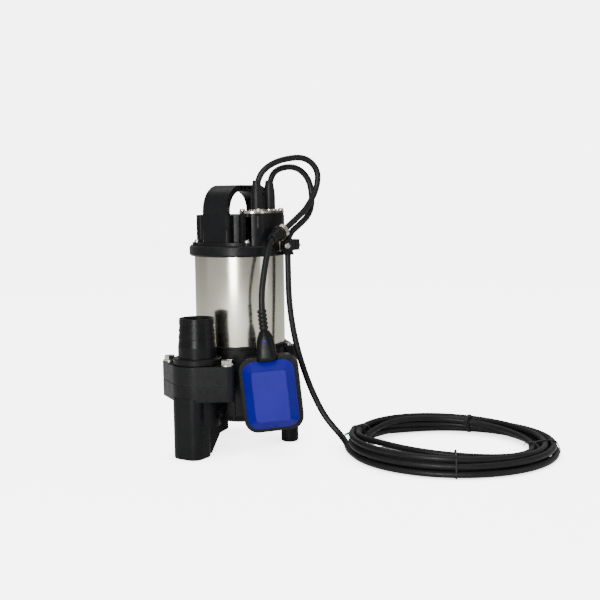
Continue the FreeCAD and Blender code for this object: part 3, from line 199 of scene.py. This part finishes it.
CORD_RADIUS = 4 * MM
POWER_ROUTE = [
    (38.5, 16, 333), (39.6, 17, 350), (48.5, 26, 361.5), (64.5, 42.5, 363), (76, 56, 347),
    (80, 57, 320), (80.5, 48.6, 300), (76.5, 28.6, 287), (71.8, 6, 274), (71.8, 6, 240),
    (73.5, 4.5, 184), (82, 7, 130), (98, 11, 80), (116, 15, 43), (129, 17.5, 27),
    (142, 17.5, 15.5), (153.5, 10.5, 8.5), (161, 0.5, 5.6),
]
FLOAT_ROUTE = [
    (38.5, -14, 333), (39.9, -12.8, 349), (50, -3.5, 364), (65, 13, 372.5), (81, 38, 375),
    (92, 53, 358), (91, 50, 333), (84.5, 35.4, 309), (76.5, 26.4, 297.5),
    (69.5, 2.58, 281.39), (69.5, -26.56, 270.79), (68.2, -35.9, 258.5),
    (69.4, -48.8, 226), (71.8, -59.4, 194), (73.6, -58.4, 171.2),
]

COIL_CENTRE = Vector((0.2782, 0.0622, 0))
COIL_TURNS = 6
COIL_STEPS = 16
COIL_START = math.radians(176)
COIL_HALF_LENGTH, COIL_HALF_WIDTH = 131.5, 123
LAST_SHARE = 0.94
# Where each turn lies in the bundle, as (inset, height) in millimetres: tied tight on the side
# nearest the pump, and fanned out on the far side.
TIED_SLOTS = [(0, 5.4), (8.9, 5), (9.2, 14), (0.4, 14.6), (1, 23.8), (10, 23.4), (18, 13)]
FANNED_SLOTS = [(1, 4.8), (12, 4.8), (23, 5), (4.5, 13), (15.5, 13.4), (31, 9), (31, 9)]


def mix(one, two, share):
    return one + (two - one) * share


def ease(share):
    share = min(max(share, 0), 1)
    return share * share * (3 - 2 * share)


def coil_place(turns):
    """A point of the coil's line, so many turns after its start."""
    angle = COIL_START - 2 * math.pi * turns
    index = min(int(turns), COIL_TURNS - 1)
    change = ease((turns - index - 0.78) / 0.2)
    fanned = (0.5 + 0.5 * math.cos(angle)) ** 1.5
    inset = height = 0
    for slot, weight in ((index, 1 - change), (index + 1, change)):
        inset += weight * mix(TIED_SLOTS[slot][0], FANNED_SLOTS[slot][0], fanned)
        height += weight * mix(TIED_SLOTS[slot][1], FANNED_SLOTS[slot][1], fanned ** 1.3)
    inset += (0.5 + 1.2 * fanned) * math.sin(2.3 * angle + 1.9 * index)
    if index == COIL_TURNS - 1:
        reach = min((turns - index) / 0.33, 1)
        inset += 20 * math.sin(math.pi * reach ** 0.62)
    across = (COIL_HALF_LENGTH - inset) * math.cos(angle)
    away = (COIL_HALF_WIDTH - inset) * math.sin(angle)
    return COIL_CENTRE + (ACROSS * across + TOWARDS * away + UP * height) * MM


def in_metres(route):
    return [Vector(point) * MM for point in route]


def make_power_cord():
    """The mains cord: out of its boot, over to the clamp, down to the floor and round the coil."""
    points = in_metres(POWER_ROUTE)
    count = int((COIL_TURNS - 1 + LAST_SHARE) * COIL_STEPS)
    points += [coil_place(step / COIL_STEPS) for step in range(count + 1)]
    line = line_of(points)
    cord = to_object("power_cord", tube_bmesh(line, CORD_RADIUS, 24))
    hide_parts("power_cable", "power_cable_coil")
    return cord, line


def make_float_cord():
    """The float's cord: over the loop, through the grommet and down to the float's neck."""
    line = line_of(in_metres(FLOAT_ROUTE))
    cord = to_object("float_cord", tube_bmesh(line, CORD_RADIUS, 24), None)
    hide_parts("float_cable", "float_cable_hanging")
    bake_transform(cord)
    return cord, line


power_cord, power_line = make_power_cord()
float_cord, float_line = make_float_cord()


# ---------------------------------------------------------------- ties and bare cores


def hull(points):
    """The convex outline of points in a plane, anticlockwise."""
    points = sorted(points)

    def half(ordered):
        chain = []
        for point in ordered:
            while len(chain) > 1 and turn_of(chain[-2], chain[-1], point) <= 0:
                chain.pop()
            chain.append(point)
        return chain[:-1]

    return half(points) + half(reversed(points))


def turn_of(one, two, three):
    return (two[0] - one[0]) * (three[1] - one[1]) - (two[1] - one[1]) * (three[0] - one[0])


def make_tie(name, angle, width, tail):
    """A nylon tie drawn tight round the turns at an angle about the coil, with head and tail."""
    outward = ACROSS * math.cos(angle) + TOWARDS * math.sin(angle)
    along = UP.cross(outward)
    crossings = []
    coil_line = [place for place in power_line if place.z < 0.032 and place.x > 0.15]
    for one, two in zip(coil_line, coil_line[1:]):
        low, high = (one - COIL_CENTRE).dot(along), (two - COIL_CENTRE).dot(along)
        if low * high < 0 < (one - COIL_CENTRE).dot(outward):
            place = one.lerp(two, low / (low - high)) - COIL_CENTRE
            crossings.append((place.dot(outward), place.z))
    rim = []
    for across, height in crossings:
        for step in range(20):
            turn = 2 * math.pi * step / 20
            reach = CORD_RADIUS + 0.15 * MM
            rim.append((across + reach * math.cos(turn), max(height + reach * math.sin(turn), 1.3 * MM)))
    outline = hull(rim)
    thick = 1.1 * MM
    bm = bmesh.new()
    rings = []
    count = len(outline)
    for i, (across, height) in enumerate(outline):
        before, after = outline[i - 1], outline[(i + 1) % count]
        normal = Vector((after[1] - before[1], before[0] - after[0])).normalized()
        ring = []
        for reach, side in ((0, -1), (thick, -1), (thick, 1), (0, 1)):
            place = (COIL_CENTRE + outward * (across + normal.x * reach)
                     + UP * max(height + normal.y * reach, 0.15 * MM) + along * (side * width / 2))
            ring.append(bm.verts.new(place))
        rings.append(ring)
    for i in range(count):
        one, two = rings[i], rings[(i + 1) % count]
        for k in range(4):
            bm.faces.new((one[k], two[k], two[(k + 1) % 4], one[(k + 1) % 4]))
    head_reach, head_height = max(outline, key=lambda spot: spot[1] - 0.6 * spot[0])
    turn = Matrix((outward, along, UP)).transposed()
    head_size = (1.5 * width, 1.35 * width, 1.1 * width)
    head_at = COIL_CENTRE + outward * head_reach + UP * (head_height + 0.6 * width)
    head = block_bmesh(head_size, head_at, turn, 0.16 * width)
    tail_line = [
        head_at + outward * (0.2 * width), head_at - outward * (0.3 * tail) + UP * (0.1 * tail),
        head_at - outward * (0.75 * tail) - UP * (0.12 * tail),
        head_at - outward * tail - UP * (0.55 * tail),
    ]
    strip = bmesh.new()
    last = None
    for place in line_of(tail_line):
        corners = [strip.verts.new(place + along * (side * 0.42 * width) + UP * lift)
                   for side, lift in ((-1, 0), (1, 0), (1, 0.9 * MM), (-1, 0.9 * MM))]
        if last:
            for k in range(4):
                strip.faces.new((last[k], last[(k + 1) % 4], corners[(k + 1) % 4], corners[k]))
        else:
            strip.faces.new(list(reversed(corners)))
        last = corners
    strip.faces.new(last)
    tie = to_object(name, join_bmesh([bm, head, strip]), smooth=False)
    soften(tie, 0.3 * MM)
    return tie


def soften(piece, width, angle=35):
    """Round a piece's sharp edges a little, so that they catch the light."""
    bevel = piece.modifiers.new("soft_edges", "BEVEL")
    bevel.width = width
    bevel.segments = 2
    bevel.limit_method = "ANGLE"
    bevel.angle_limit = math.radians(angle)
    bevel.harden_normals = False
    bevel.use_clamp_overlap = True


TIES = [
    ("tie_back", -70, 4.6 * MM, 17 * MM), ("tie_front", 97, 2.2 * MM, 7 * MM),
    ("tie_right", 8, 2.6 * MM, 9 * MM), ("tie_left", -163, 2.6 * MM, 11 * MM),
]
ties = [make_tie(name, math.radians(angle), width, tail) for name, angle, width, tail in TIES]
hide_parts("cable_ties")


def make_cores():
    """The three insulated cores bared at the cord's free end, and their tinned tips."""
    end, before = power_line[-1], power_line[-2]
    ahead = (end - before).normalized()
    cores = []
    routes = {
        "core_brown": [(-124, 5, 13), (-119, 20, 13), (-110.6, 35, 15)],
        "core_white": [(-100, 10, 10), (-84, 29, 14), (-66, 47, 11), (-45, 62, 14)],
        "core_teal": [(-126, -24, 20), (-131, -12, 24), (-135.5, 2, 25)],
    }
    for name, route in routes.items():
        points = [end - ahead * 2 * MM, end + ahead * 6 * MM]
        points += [COIL_CENTRE + (ACROSS * a + TOWARDS * b + UP * c) * MM for a, b, c in route]
        core = to_object(name, tube_bmesh(line_of(points), 1.45 * MM, 14))
        tip_line = [points[-1], points[-1] + (points[-1] - points[-2]).normalized() * 5 * MM]
        tip = to_object(name + "_tip", tube_bmesh(tip_line, 0.8 * MM, 10, UP))
        cores += [core, tip]
    return cores


cores = make_cores()


# ---------------------------------------------------------------- moulded details

FLOAT_AT = Vector((0.0814, -0.0537, 0.0792))
FLOAT_TURN = Matrix.Rotation(TURN_OF_VIEW, 3, "Z") @ Matrix.Rotation(math.radians(-5.7), 3, "Y")
OUTLET = Vector((0, -0.097, 0))


def in_float(x, y, z):
    """A point given in the float's own frame, in millimetres: X right, Y inwards, Z up."""
    return FLOAT_AT + FLOAT_TURN @ (Vector((x, y, z)) * MM)


def make_float_neck():
    """The bell-shaped neck on the float: an oval foot that rounds in to the cable's sleeve."""
    rings = [
        (41.7, 12.8, 12.8), (42.6, 13.4, 13.4), (47, 13.1, 13.2), (52, 12.6, 12.5), (60, 11.9, 11.5),
        (66, 11.2, 10.6), (70, 10.2, 9.6), (73.4, 8.8, 8.3), (76, 7.4, 7.1), (77.8, 6.6, 6.5),
        (78.5, 5.9, 5.9), (77.5, 5.45, 5.45), (74, 5.42, 5.42),
    ]
    bm = bmesh.new()
    count = 40
    loops = []
    for height, wide, deep in rings:
        square = 2 + 1.4 * ease((78 - height) / 30)
        loop = []
        for step in range(count):
            turn = 2 * math.pi * step / count
            cos, sin = math.cos(turn), math.sin(turn)
            across = math.copysign(abs(cos) ** (2 / square), cos) * wide
            inwards = math.copysign(abs(sin) ** (2 / square), sin) * deep
            loop.append(bm.verts.new(in_float(across, inwards, height)))
        loops.append(loop)
    close_loops(bm, loops)
    neck = to_object("float_neck_moulding", bm, "float")
    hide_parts("float_neck")
    return neck


def make_strain_relief():
    """The rubber sleeve in the top of the neck: five broad ribs with deep grooves between them."""
    profile = [(4.6, 71)]
    for step in range(5):
        low = 79.6 + 5.1 * step
        profile += [(4.6, low), (4.7, low + 1.1), (5.6, low + 1.5), (5.85, low + 2.1),
                    (5.85, low + 4.3), (5.6, low + 4.9)]
    profile += [(4.7, 105.2), (4.1, 104.6)]
    bm = bmesh.new()
    count = 32
    loops = []
    for radius, height in profile:
        turns = [2 * math.pi * step / count for step in range(count)]
        loops.append([bm.verts.new(in_float(radius * math.cos(turn), radius * math.sin(turn), height))
                      for turn in turns])
    close_loops(bm, loops)
    relief = to_object("strain_relief_ribs", bm, "float")
    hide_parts("float_strain_relief")
    return relief


def close_loops(bm, loops):
    """Skin a row of rings and cap both ends."""
    count = len(loops[0])
    for one, two in zip(loops, loops[1:]):
        for step in range(count):
            after = (step + 1) % count
            bm.faces.new((one[step], one[after], two[after], two[step]))
    bm.faces.new(list(reversed(loops[0])))
    bm.faces.new(loops[-1])


def make_neck_marks():
    """The small blue window in the neck's front and the moulded pip above it."""
    window = block_bmesh((3.9 * MM, 1.2 * MM, 3.7 * MM), in_float(0, -10.4, 66.5),
                         FLOAT_TURN @ Matrix.Rotation(math.radians(-9), 3, "X"), 0.5 * MM, 3)
    window = to_object("neck_window", window, "float")
    pip = bmesh.new()
    bmesh.ops.create_uvsphere(pip, u_segments=18, v_segments=12, radius=1.5 * MM)
    bmesh.ops.scale(pip, vec=(1.25, 0.7, 0.8), verts=pip.verts)
    bmesh.ops.transform(pip, matrix=Matrix.Translation(in_float(-0.6, -7.6, 74)) @ FLOAT_TURN.to_4x4(),
                        verts=pip.verts)
    pip = to_object("neck_pip", pip, "float")
    return window, pip


def make_spigot_ridges():
    """The mould's parting ridges down the barbed spigot, one on each side."""
    profile = [(139.2, 24.75), (149.2, 23.3), (149.6, 23.95), (158, 22.9), (158.4, 23.45),
               (166.8, 22.35), (167.2, 22.95), (174.2, 22.4)]
    ridges = bmesh.new()
    for turn in (49, 229):
        angle = math.radians(turn)
        outward = TOWARDS * math.cos(angle) + ACROSS * math.sin(angle)
        along = UP.cross(outward)
        last = None
        for height, reach in profile:
            corners = [
                ridges.verts.new(OUTLET + UP * height * MM + outward * (reach - depth) * MM
                                 + along * side * MM)
                for depth, side in ((1.2, -0.9), (0.1, -0.45), (0.1, 0.45), (1.2, 0.9))
            ]
            if last:
                for k in range(4):
                    ridges.faces.new((last[k], last[(k + 1) % 4], corners[(k + 1) % 4], corners[k]))
            else:
                ridges.faces.new(list(reversed(corners)))
            last = corners
        ridges.faces.new(last)
    ridges = to_object("spigot_ridges", ridges, "pump", smooth=False)
    return ridges


float_neck = make_float_neck()
strain_relief = make_strain_relief()
neck_window, neck_pip = make_neck_marks()
spigot_ridges = make_spigot_ridges()


# ---------------------------------------------------------------- materials


class Nodes:
    """A material's node tree, with short ways to add to it."""

    def __init__(self, name):
        self.material = bpy.data.materials.new(name)
        self.material.use_nodes = True
        self.tree = self.material.node_tree
        self.shader = self.tree.nodes["Principled BSDF"]

    def add(self, kind, **sizes):
        node = self.tree.nodes.new("ShaderNode" + kind)
        for name, value in sizes.items():
            setattr(node, name, value)
        return node

    def join(self, source, target):
        self.tree.links.new(source, target)

    def spots(self, scale, detail=3.0, stretch=(1, 1, 1)):
        """Noise over the piece's own coordinates, finer with a larger scale."""
        where = self.add("TexCoord")
        spread = self.add("Mapping")
        spread.inputs["Scale"].default_value = stretch
        noise = self.add("TexNoise")
        noise.inputs["Scale"].default_value = scale
        noise.inputs["Detail"].default_value = detail
        self.join(where.outputs["Object"], spread.inputs["Vector"])
        self.join(spread.outputs["Vector"], noise.inputs["Vector"])
        return noise.outputs["Fac"]

    def spread(self, source, low, high, low_in=0.3, high_in=0.7):
        """Carry a value from one range to another."""
        node = self.add("MapRange")
        node.inputs["From Min"].default_value = low_in
        node.inputs["From Max"].default_value = high_in
        node.inputs["To Min"].default_value = low
        node.inputs["To Max"].default_value = high
        self.join(source, node.inputs["Value"])
        return node.outputs["Result"]

    def blend(self, share, one, two):
        """A colour between two, which are sockets or plain colours."""
        node = self.add("Mix", data_type="RGBA")
        inputs = [item for item in node.inputs if item.type == "RGBA"]
        for socket, value in zip(inputs, (one, two)):
            if hasattr(value, "links"):
                self.join(value, socket)
            else:
                socket.default_value = (*value, 1)
        if hasattr(share, "links"):
            self.join(share, node.inputs["Factor"])
        else:
            node.inputs["Factor"].default_value = share
        return next(item for item in node.outputs if item.type == "RGBA")

    def edges(self, low=0.52, high=0.62):
        """One along worn outer edges, nought elsewhere."""
        shape = self.add("NewGeometry")
        return self.spread(shape.outputs["Pointiness"], 0, 1, low, high)

    def rounded(self, radius):
        """Shade sharp edges as if they were rounded."""
        node = self.add("Bevel", samples=4)
        node.inputs["Radius"].default_value = radius
        self.join(node.outputs["Normal"], self.shader.inputs["Normal"])

    def bump(self, height, strength, depth):
        node = self.add("Bump")
        node.inputs["Strength"].default_value = strength
        node.inputs["Distance"].default_value = depth
        self.join(height, node.inputs["Height"])
        previous = self.shader.inputs["Normal"].links
        if previous:
            self.join(previous[0].from_socket, node.inputs["Normal"])
        self.join(node.outputs["Normal"], self.shader.inputs["Normal"])


def moulded(name, colour, lighter, rough, grain=1600, depth=0.05 * MM, wear=0.5, flow=True,
            gloss=0.16, round_edges=0.0):
    """Moulded plastic: fine grain, faint flow marks, dust in patches and paler worn edges."""
    nodes = Nodes(name)
    patches = nodes.spread(nodes.spots(38, 5), 0, 1)
    fine = nodes.spots(grain, 2)
    base = nodes.blend(patches, colour, lighter)
    worn = tuple(min(1, 1.7 * part + 0.006) for part in colour)
    edge = nodes.spread(nodes.edges(), 0, wear, 0, 1)
    nodes.join(nodes.blend(edge, base, worn), nodes.shader.inputs["Base Color"])
    nodes.join(nodes.spread(nodes.spots(120, 4), rough - 0.06, rough + 0.08),
               nodes.shader.inputs["Roughness"])
    nodes.shader.inputs["Specular IOR Level"].default_value = gloss
    if round_edges:
        nodes.rounded(round_edges)
    nodes.bump(fine, 0.14, depth)
    if flow:
        nodes.bump(nodes.spots(26, 1, (1, 1, 0.35)), 0.2, 0.3 * MM)
    return nodes.material


def brushed(name, colour, rough, stretch=(9, 9, 1500), anisotropic=0.8):
    """Steel brushed round its axis: fine level scratches and a reflection drawn out upright."""
    nodes = Nodes(name)
    lines = nodes.spots(1, 4, stretch)
    tint = nodes.spread(nodes.spots(9, 3), 0, 1)
    darker = tuple(0.86 * part for part in colour)
    nodes.join(nodes.blend(tint, colour, darker), nodes.shader.inputs["Base Color"])
    nodes.shader.inputs["Metallic"].default_value = 1
    nodes.join(nodes.spread(lines, rough - 0.02, rough + 0.04), nodes.shader.inputs["Roughness"])
    nodes.shader.inputs["Anisotropic"].default_value = anisotropic
    tangent = nodes.add("Tangent", direction_type="RADIAL", axis="Z")
    nodes.join(tangent.outputs["Tangent"], nodes.shader.inputs["Tangent"])
    nodes.bump(lines, 0.02, 0.001 * MM)
    return nodes.material


def metal(name, colour, rough, grain=900, depth=0.02 * MM, stain=0.8, metallic=1.0):
    """Turned or cast metal with faint tool marks and stains."""
    nodes = Nodes(name)
    stains = nodes.spread(nodes.spots(150, 5), 0, 1)
    stained = tuple(stain * part for part in colour)
    nodes.join(nodes.blend(stains, colour, stained), nodes.shader.inputs["Base Color"])
    nodes.shader.inputs["Metallic"].default_value = metallic
    nodes.join(nodes.spread(nodes.spots(420, 3), rough - 0.05, rough + 0.08),
               nodes.shader.inputs["Roughness"])
    nodes.bump(nodes.spots(grain, 3), 0.3, depth)
    return nodes.material


def striped(name, colour, gap_colour, pitch, direction, rough, metallic):
    """Stacked sheets or wound wire: fine even lines across one direction."""
    nodes = Nodes(name)
    where = nodes.add("TexCoord")
    lines = nodes.add("TexWave", wave_type="BANDS", bands_direction=direction)
    lines.inputs["Scale"].default_value = 1 / (pitch * 3.2)
    lines.inputs["Distortion"].default_value = 0.4
    nodes.join(where.outputs["Object"], lines.inputs["Vector"])
    share = nodes.spread(lines.outputs["Fac"], 0, 1, 0.1, 0.6)
    nodes.join(nodes.blend(share, gap_colour, colour), nodes.shader.inputs["Base Color"])
    nodes.shader.inputs["Metallic"].default_value = metallic
    nodes.join(nodes.spread(nodes.spots(300, 3), rough - 0.05, rough + 0.1),
               nodes.shader.inputs["Roughness"])
    nodes.bump(lines.outputs["Fac"], 0.6, 0.12 * MM)
    return nodes.material


MATERIALS = {
    "black_plastic": moulded("black_plastic", (0.0042, 0.0044, 0.0050), (0.0062, 0.0064, 0.0070),
                             0.3, wear=0.2, gloss=0.12, round_edges=0.7 * MM),
    "blue_plastic": moulded("blue_plastic", (0.007, 0.003, 0.18), (0.008, 0.004, 0.20), 0.42,
                            2200, 0.03 * MM, 0.25),
    "stainless": brushed("stainless", (0.62, 0.61, 0.51), 0.13),
    "screw_steel": metal("screw_steel", (0.66, 0.64, 0.58), 0.26),
    "rubber": moulded("rubber", (0.006, 0.0062, 0.0066), (0.009, 0.0092, 0.0096), 0.4, 2600,
                      0.04 * MM, 0.35, False),
    "lamination": striped("lamination", (0.33, 0.33, 0.35), (0.08, 0.07, 0.07), 0.5 * MM, "Z",
                          0.45, 1.0),
    "winding": striped("winding", (0.62, 0.22, 0.07), (0.18, 0.05, 0.02), 0.8 * MM, "Z",
                       0.3, 0.8),
    "aluminium": metal("aluminium", (0.72, 0.73, 0.75), 0.42, 500, 0.08 * MM),
    "bearing_steel": metal("bearing_steel", (0.76, 0.76, 0.78), 0.16, 1500, 0.01 * MM, 0.92),
    "ceramic": metal("ceramic", (0.72, 0.70, 0.64), 0.2, 1800, 0.01 * MM, 0.94, 0.0),
    "can": metal("can", (0.66, 0.67, 0.69), 0.3, 700, 0.03 * MM, 0.9),
    "white_plastic": moulded("white_plastic", (0.66, 0.66, 0.62), (0.72, 0.72, 0.69), 0.42,
                             wear=0.1),
    "tie_plastic": moulded("tie_plastic", (0.008, 0.008, 0.009), (0.012, 0.012, 0.013), 0.3, 1800,
                           0.03 * MM, 0.4, False),
    "weight_steel": metal("weight_steel", (0.22, 0.22, 0.23), 0.55, 350, 0.12 * MM, 0.7),
    "core_brown": moulded("core_brown", (0.36, 0.11, 0.035), (0.42, 0.14, 0.045), 0.38, wear=0.2),
    "core_white": moulded("core_white", (0.74, 0.74, 0.72), (0.8, 0.8, 0.78), 0.38, wear=0.1),
    "core_teal": moulded("core_teal", (0.02, 0.26, 0.24), (0.03, 0.32, 0.30), 0.38, wear=0.2),
}


def dress(piece, material):
    """Give a piece one material, in every slot that it has."""
    if piece.material_slots:
        for item in piece.material_slots:
            item.material = MATERIALS[material]
    else:
        piece.data.materials.append(MATERIALS[material])


# Nodes whose edges get a real bevel, in millimetres; elsewhere it would spot the shading.
SOFT_EDGES = {"float_shell_front": 1.6}


def dress_frame():
    """Give each CAD node its material, and soften the edges of those that show."""
    for entry in frame["record"]["subparts"]:
        node = frame["nodes"][entry["node"]]
        dress(node, entry["material_slot"])
        if entry["node"] in SOFT_EDGES:
            soften(node, SOFT_EDGES[entry["node"]] * MM)


dress_frame()
dress(power_cord, "rubber")
dress(float_cord, "rubber")
for tie in ties:
    dress(tie, "tie_plastic")
for piece in (float_neck, neck_pip, spigot_ridges):
    dress(piece, "black_plastic")
dress(neck_window, "blue_plastic")
dress(strain_relief, "rubber")
for core in cores:
    tip = core.name.endswith("_tip")
    dress(core, "bearing_steel" if tip else core.name)


# ---------------------------------------------------------------- studio


# How bright the floor and backdrop look to the camera. Brighter eats into thin dark edges.
WHITE = 5.2
BACKDROP = WHITE + 0.6
ROOM = 0.47
FLOOR_HALF = 6
# The floor's painted shadow: how far its occlusion looks, and how bright its darkest glow stays.
FLOOR_SHADE_REACH = 0.05
FLOOR_SHADE = 1.8
LIGHTS_AWAY = 2.2
# Each light: degrees round from the camera's side, metres above the pump's middle, its width and
# height in metres, and its power in watts.
UPRIGHT_LIGHTS = {
    "strip": (-14, 0.25, (0.62, 2.4), 95),
    "side": (68, 0.5, (0.8, 2.0), 9),
    "fill": (-62, 0.2, (2.2, 1.6), 2.2),
}
TOP_LIGHT = ((2.4, 2.4), 26)


def make_floor():
    """A pale floor that looks as white as the backdrop, with painted shadow: it glows a little darker to
    the camera under the pump and coil.
    """
    bm = bmesh.new()
    bmesh.ops.create_grid(bm, x_segments=2, y_segments=2, size=FLOOR_HALF)
    data = bpy.data.meshes.new("floor")
    bm.to_mesh(data)
    bm.free()
    floor = bpy.data.objects.new("floor", data)
    scene.collection.objects.link(floor)
    nodes = Nodes("floor")
    nodes.join(nodes.blend(nodes.spots(2), (0.92, 0.92, 0.92), (0.94, 0.94, 0.94)),
               nodes.shader.inputs["Base Color"])
    nodes.shader.inputs["Roughness"].default_value = 0.9
    # Painted shadow: the glow the camera sees drops from WHITE towards FLOOR_SHADE where ambient
    # occlusion finds the pump or coil close by.
    painted_shadow_occlusion = nodes.add("AmbientOcclusion")
    painted_shadow_occlusion.inputs["Distance"].default_value = FLOOR_SHADE_REACH
    seen = nodes.add("LightPath")
    glow = nodes.add("Math", operation="MULTIPLY")
    nodes.join(nodes.spread(painted_shadow_occlusion.outputs["AO"], FLOOR_SHADE, WHITE, 0, 0.85), glow.inputs[0])
    nodes.join(seen.outputs["Is Camera Ray"], glow.inputs[1])
    nodes.shader.inputs["Emission Color"].default_value = (1, 1, 1, 1)
    nodes.join(glow.outputs["Value"], nodes.shader.inputs["Emission Strength"])
    data.materials.append(nodes.material)


def area_light(name, place, aim, size, power):
    """A soft white light of that width and height, turned towards a point."""
    data = bpy.data.lights.new(name, "AREA")
    data.shape = "RECTANGLE"
    data.size, data.size_y = size
    data.energy = power
    lamp = bpy.data.objects.new(name, data)
    scene.collection.objects.link(lamp)
    lamp.location = place
    lamp.rotation_euler = (Vector(aim) - Vector(place)).to_track_quat("-Z", "Y").to_euler()


def make_world():
    """An even grey room for light and reflections, with a white backdrop in view."""
    world = bpy.data.worlds.new("studio")
    world.use_nodes = True
    scene.world = world
    tree = world.node_tree
    room = tree.nodes["Background"]
    room.inputs["Color"].default_value = (1, 0.99, 0.96, 1)
    room.inputs["Strength"].default_value = ROOM
    backdrop = tree.nodes.new("ShaderNodeBackground")
    backdrop.inputs["Color"].default_value = (1, 1, 1, 1)
    backdrop.inputs["Strength"].default_value = BACKDROP
    seen = tree.nodes.new("ShaderNodeLightPath")
    either = tree.nodes.new("ShaderNodeMixShader")
    tree.links.new(seen.outputs["Is Camera Ray"], either.inputs["Fac"])
    tree.links.new(room.outputs["Background"], either.inputs[1])
    tree.links.new(backdrop.outputs["Background"], either.inputs[2])
    tree.links.new(either.outputs["Shader"], tree.nodes["World Output"].inputs["Surface"])


def make_studio():
    """The room, three upright lights round the camera's side and one overhead."""
    make_world()
    aim = Vector((0.06, 0, 0.17))
    for name, (degrees, height, size, power) in UPRIGHT_LIGHTS.items():
        round_from_camera = math.radians(degrees)
        way = TOWARDS * math.cos(round_from_camera) + ACROSS * math.sin(round_from_camera)
        area_light(name, aim + way * LIGHTS_AWAY + UP * height, aim, size, power)
    size, power = TOP_LIGHT
    area_light("top", aim + UP * LIGHTS_AWAY - TOWARDS * 0.5, aim, size, power)


make_floor()
make_studio()
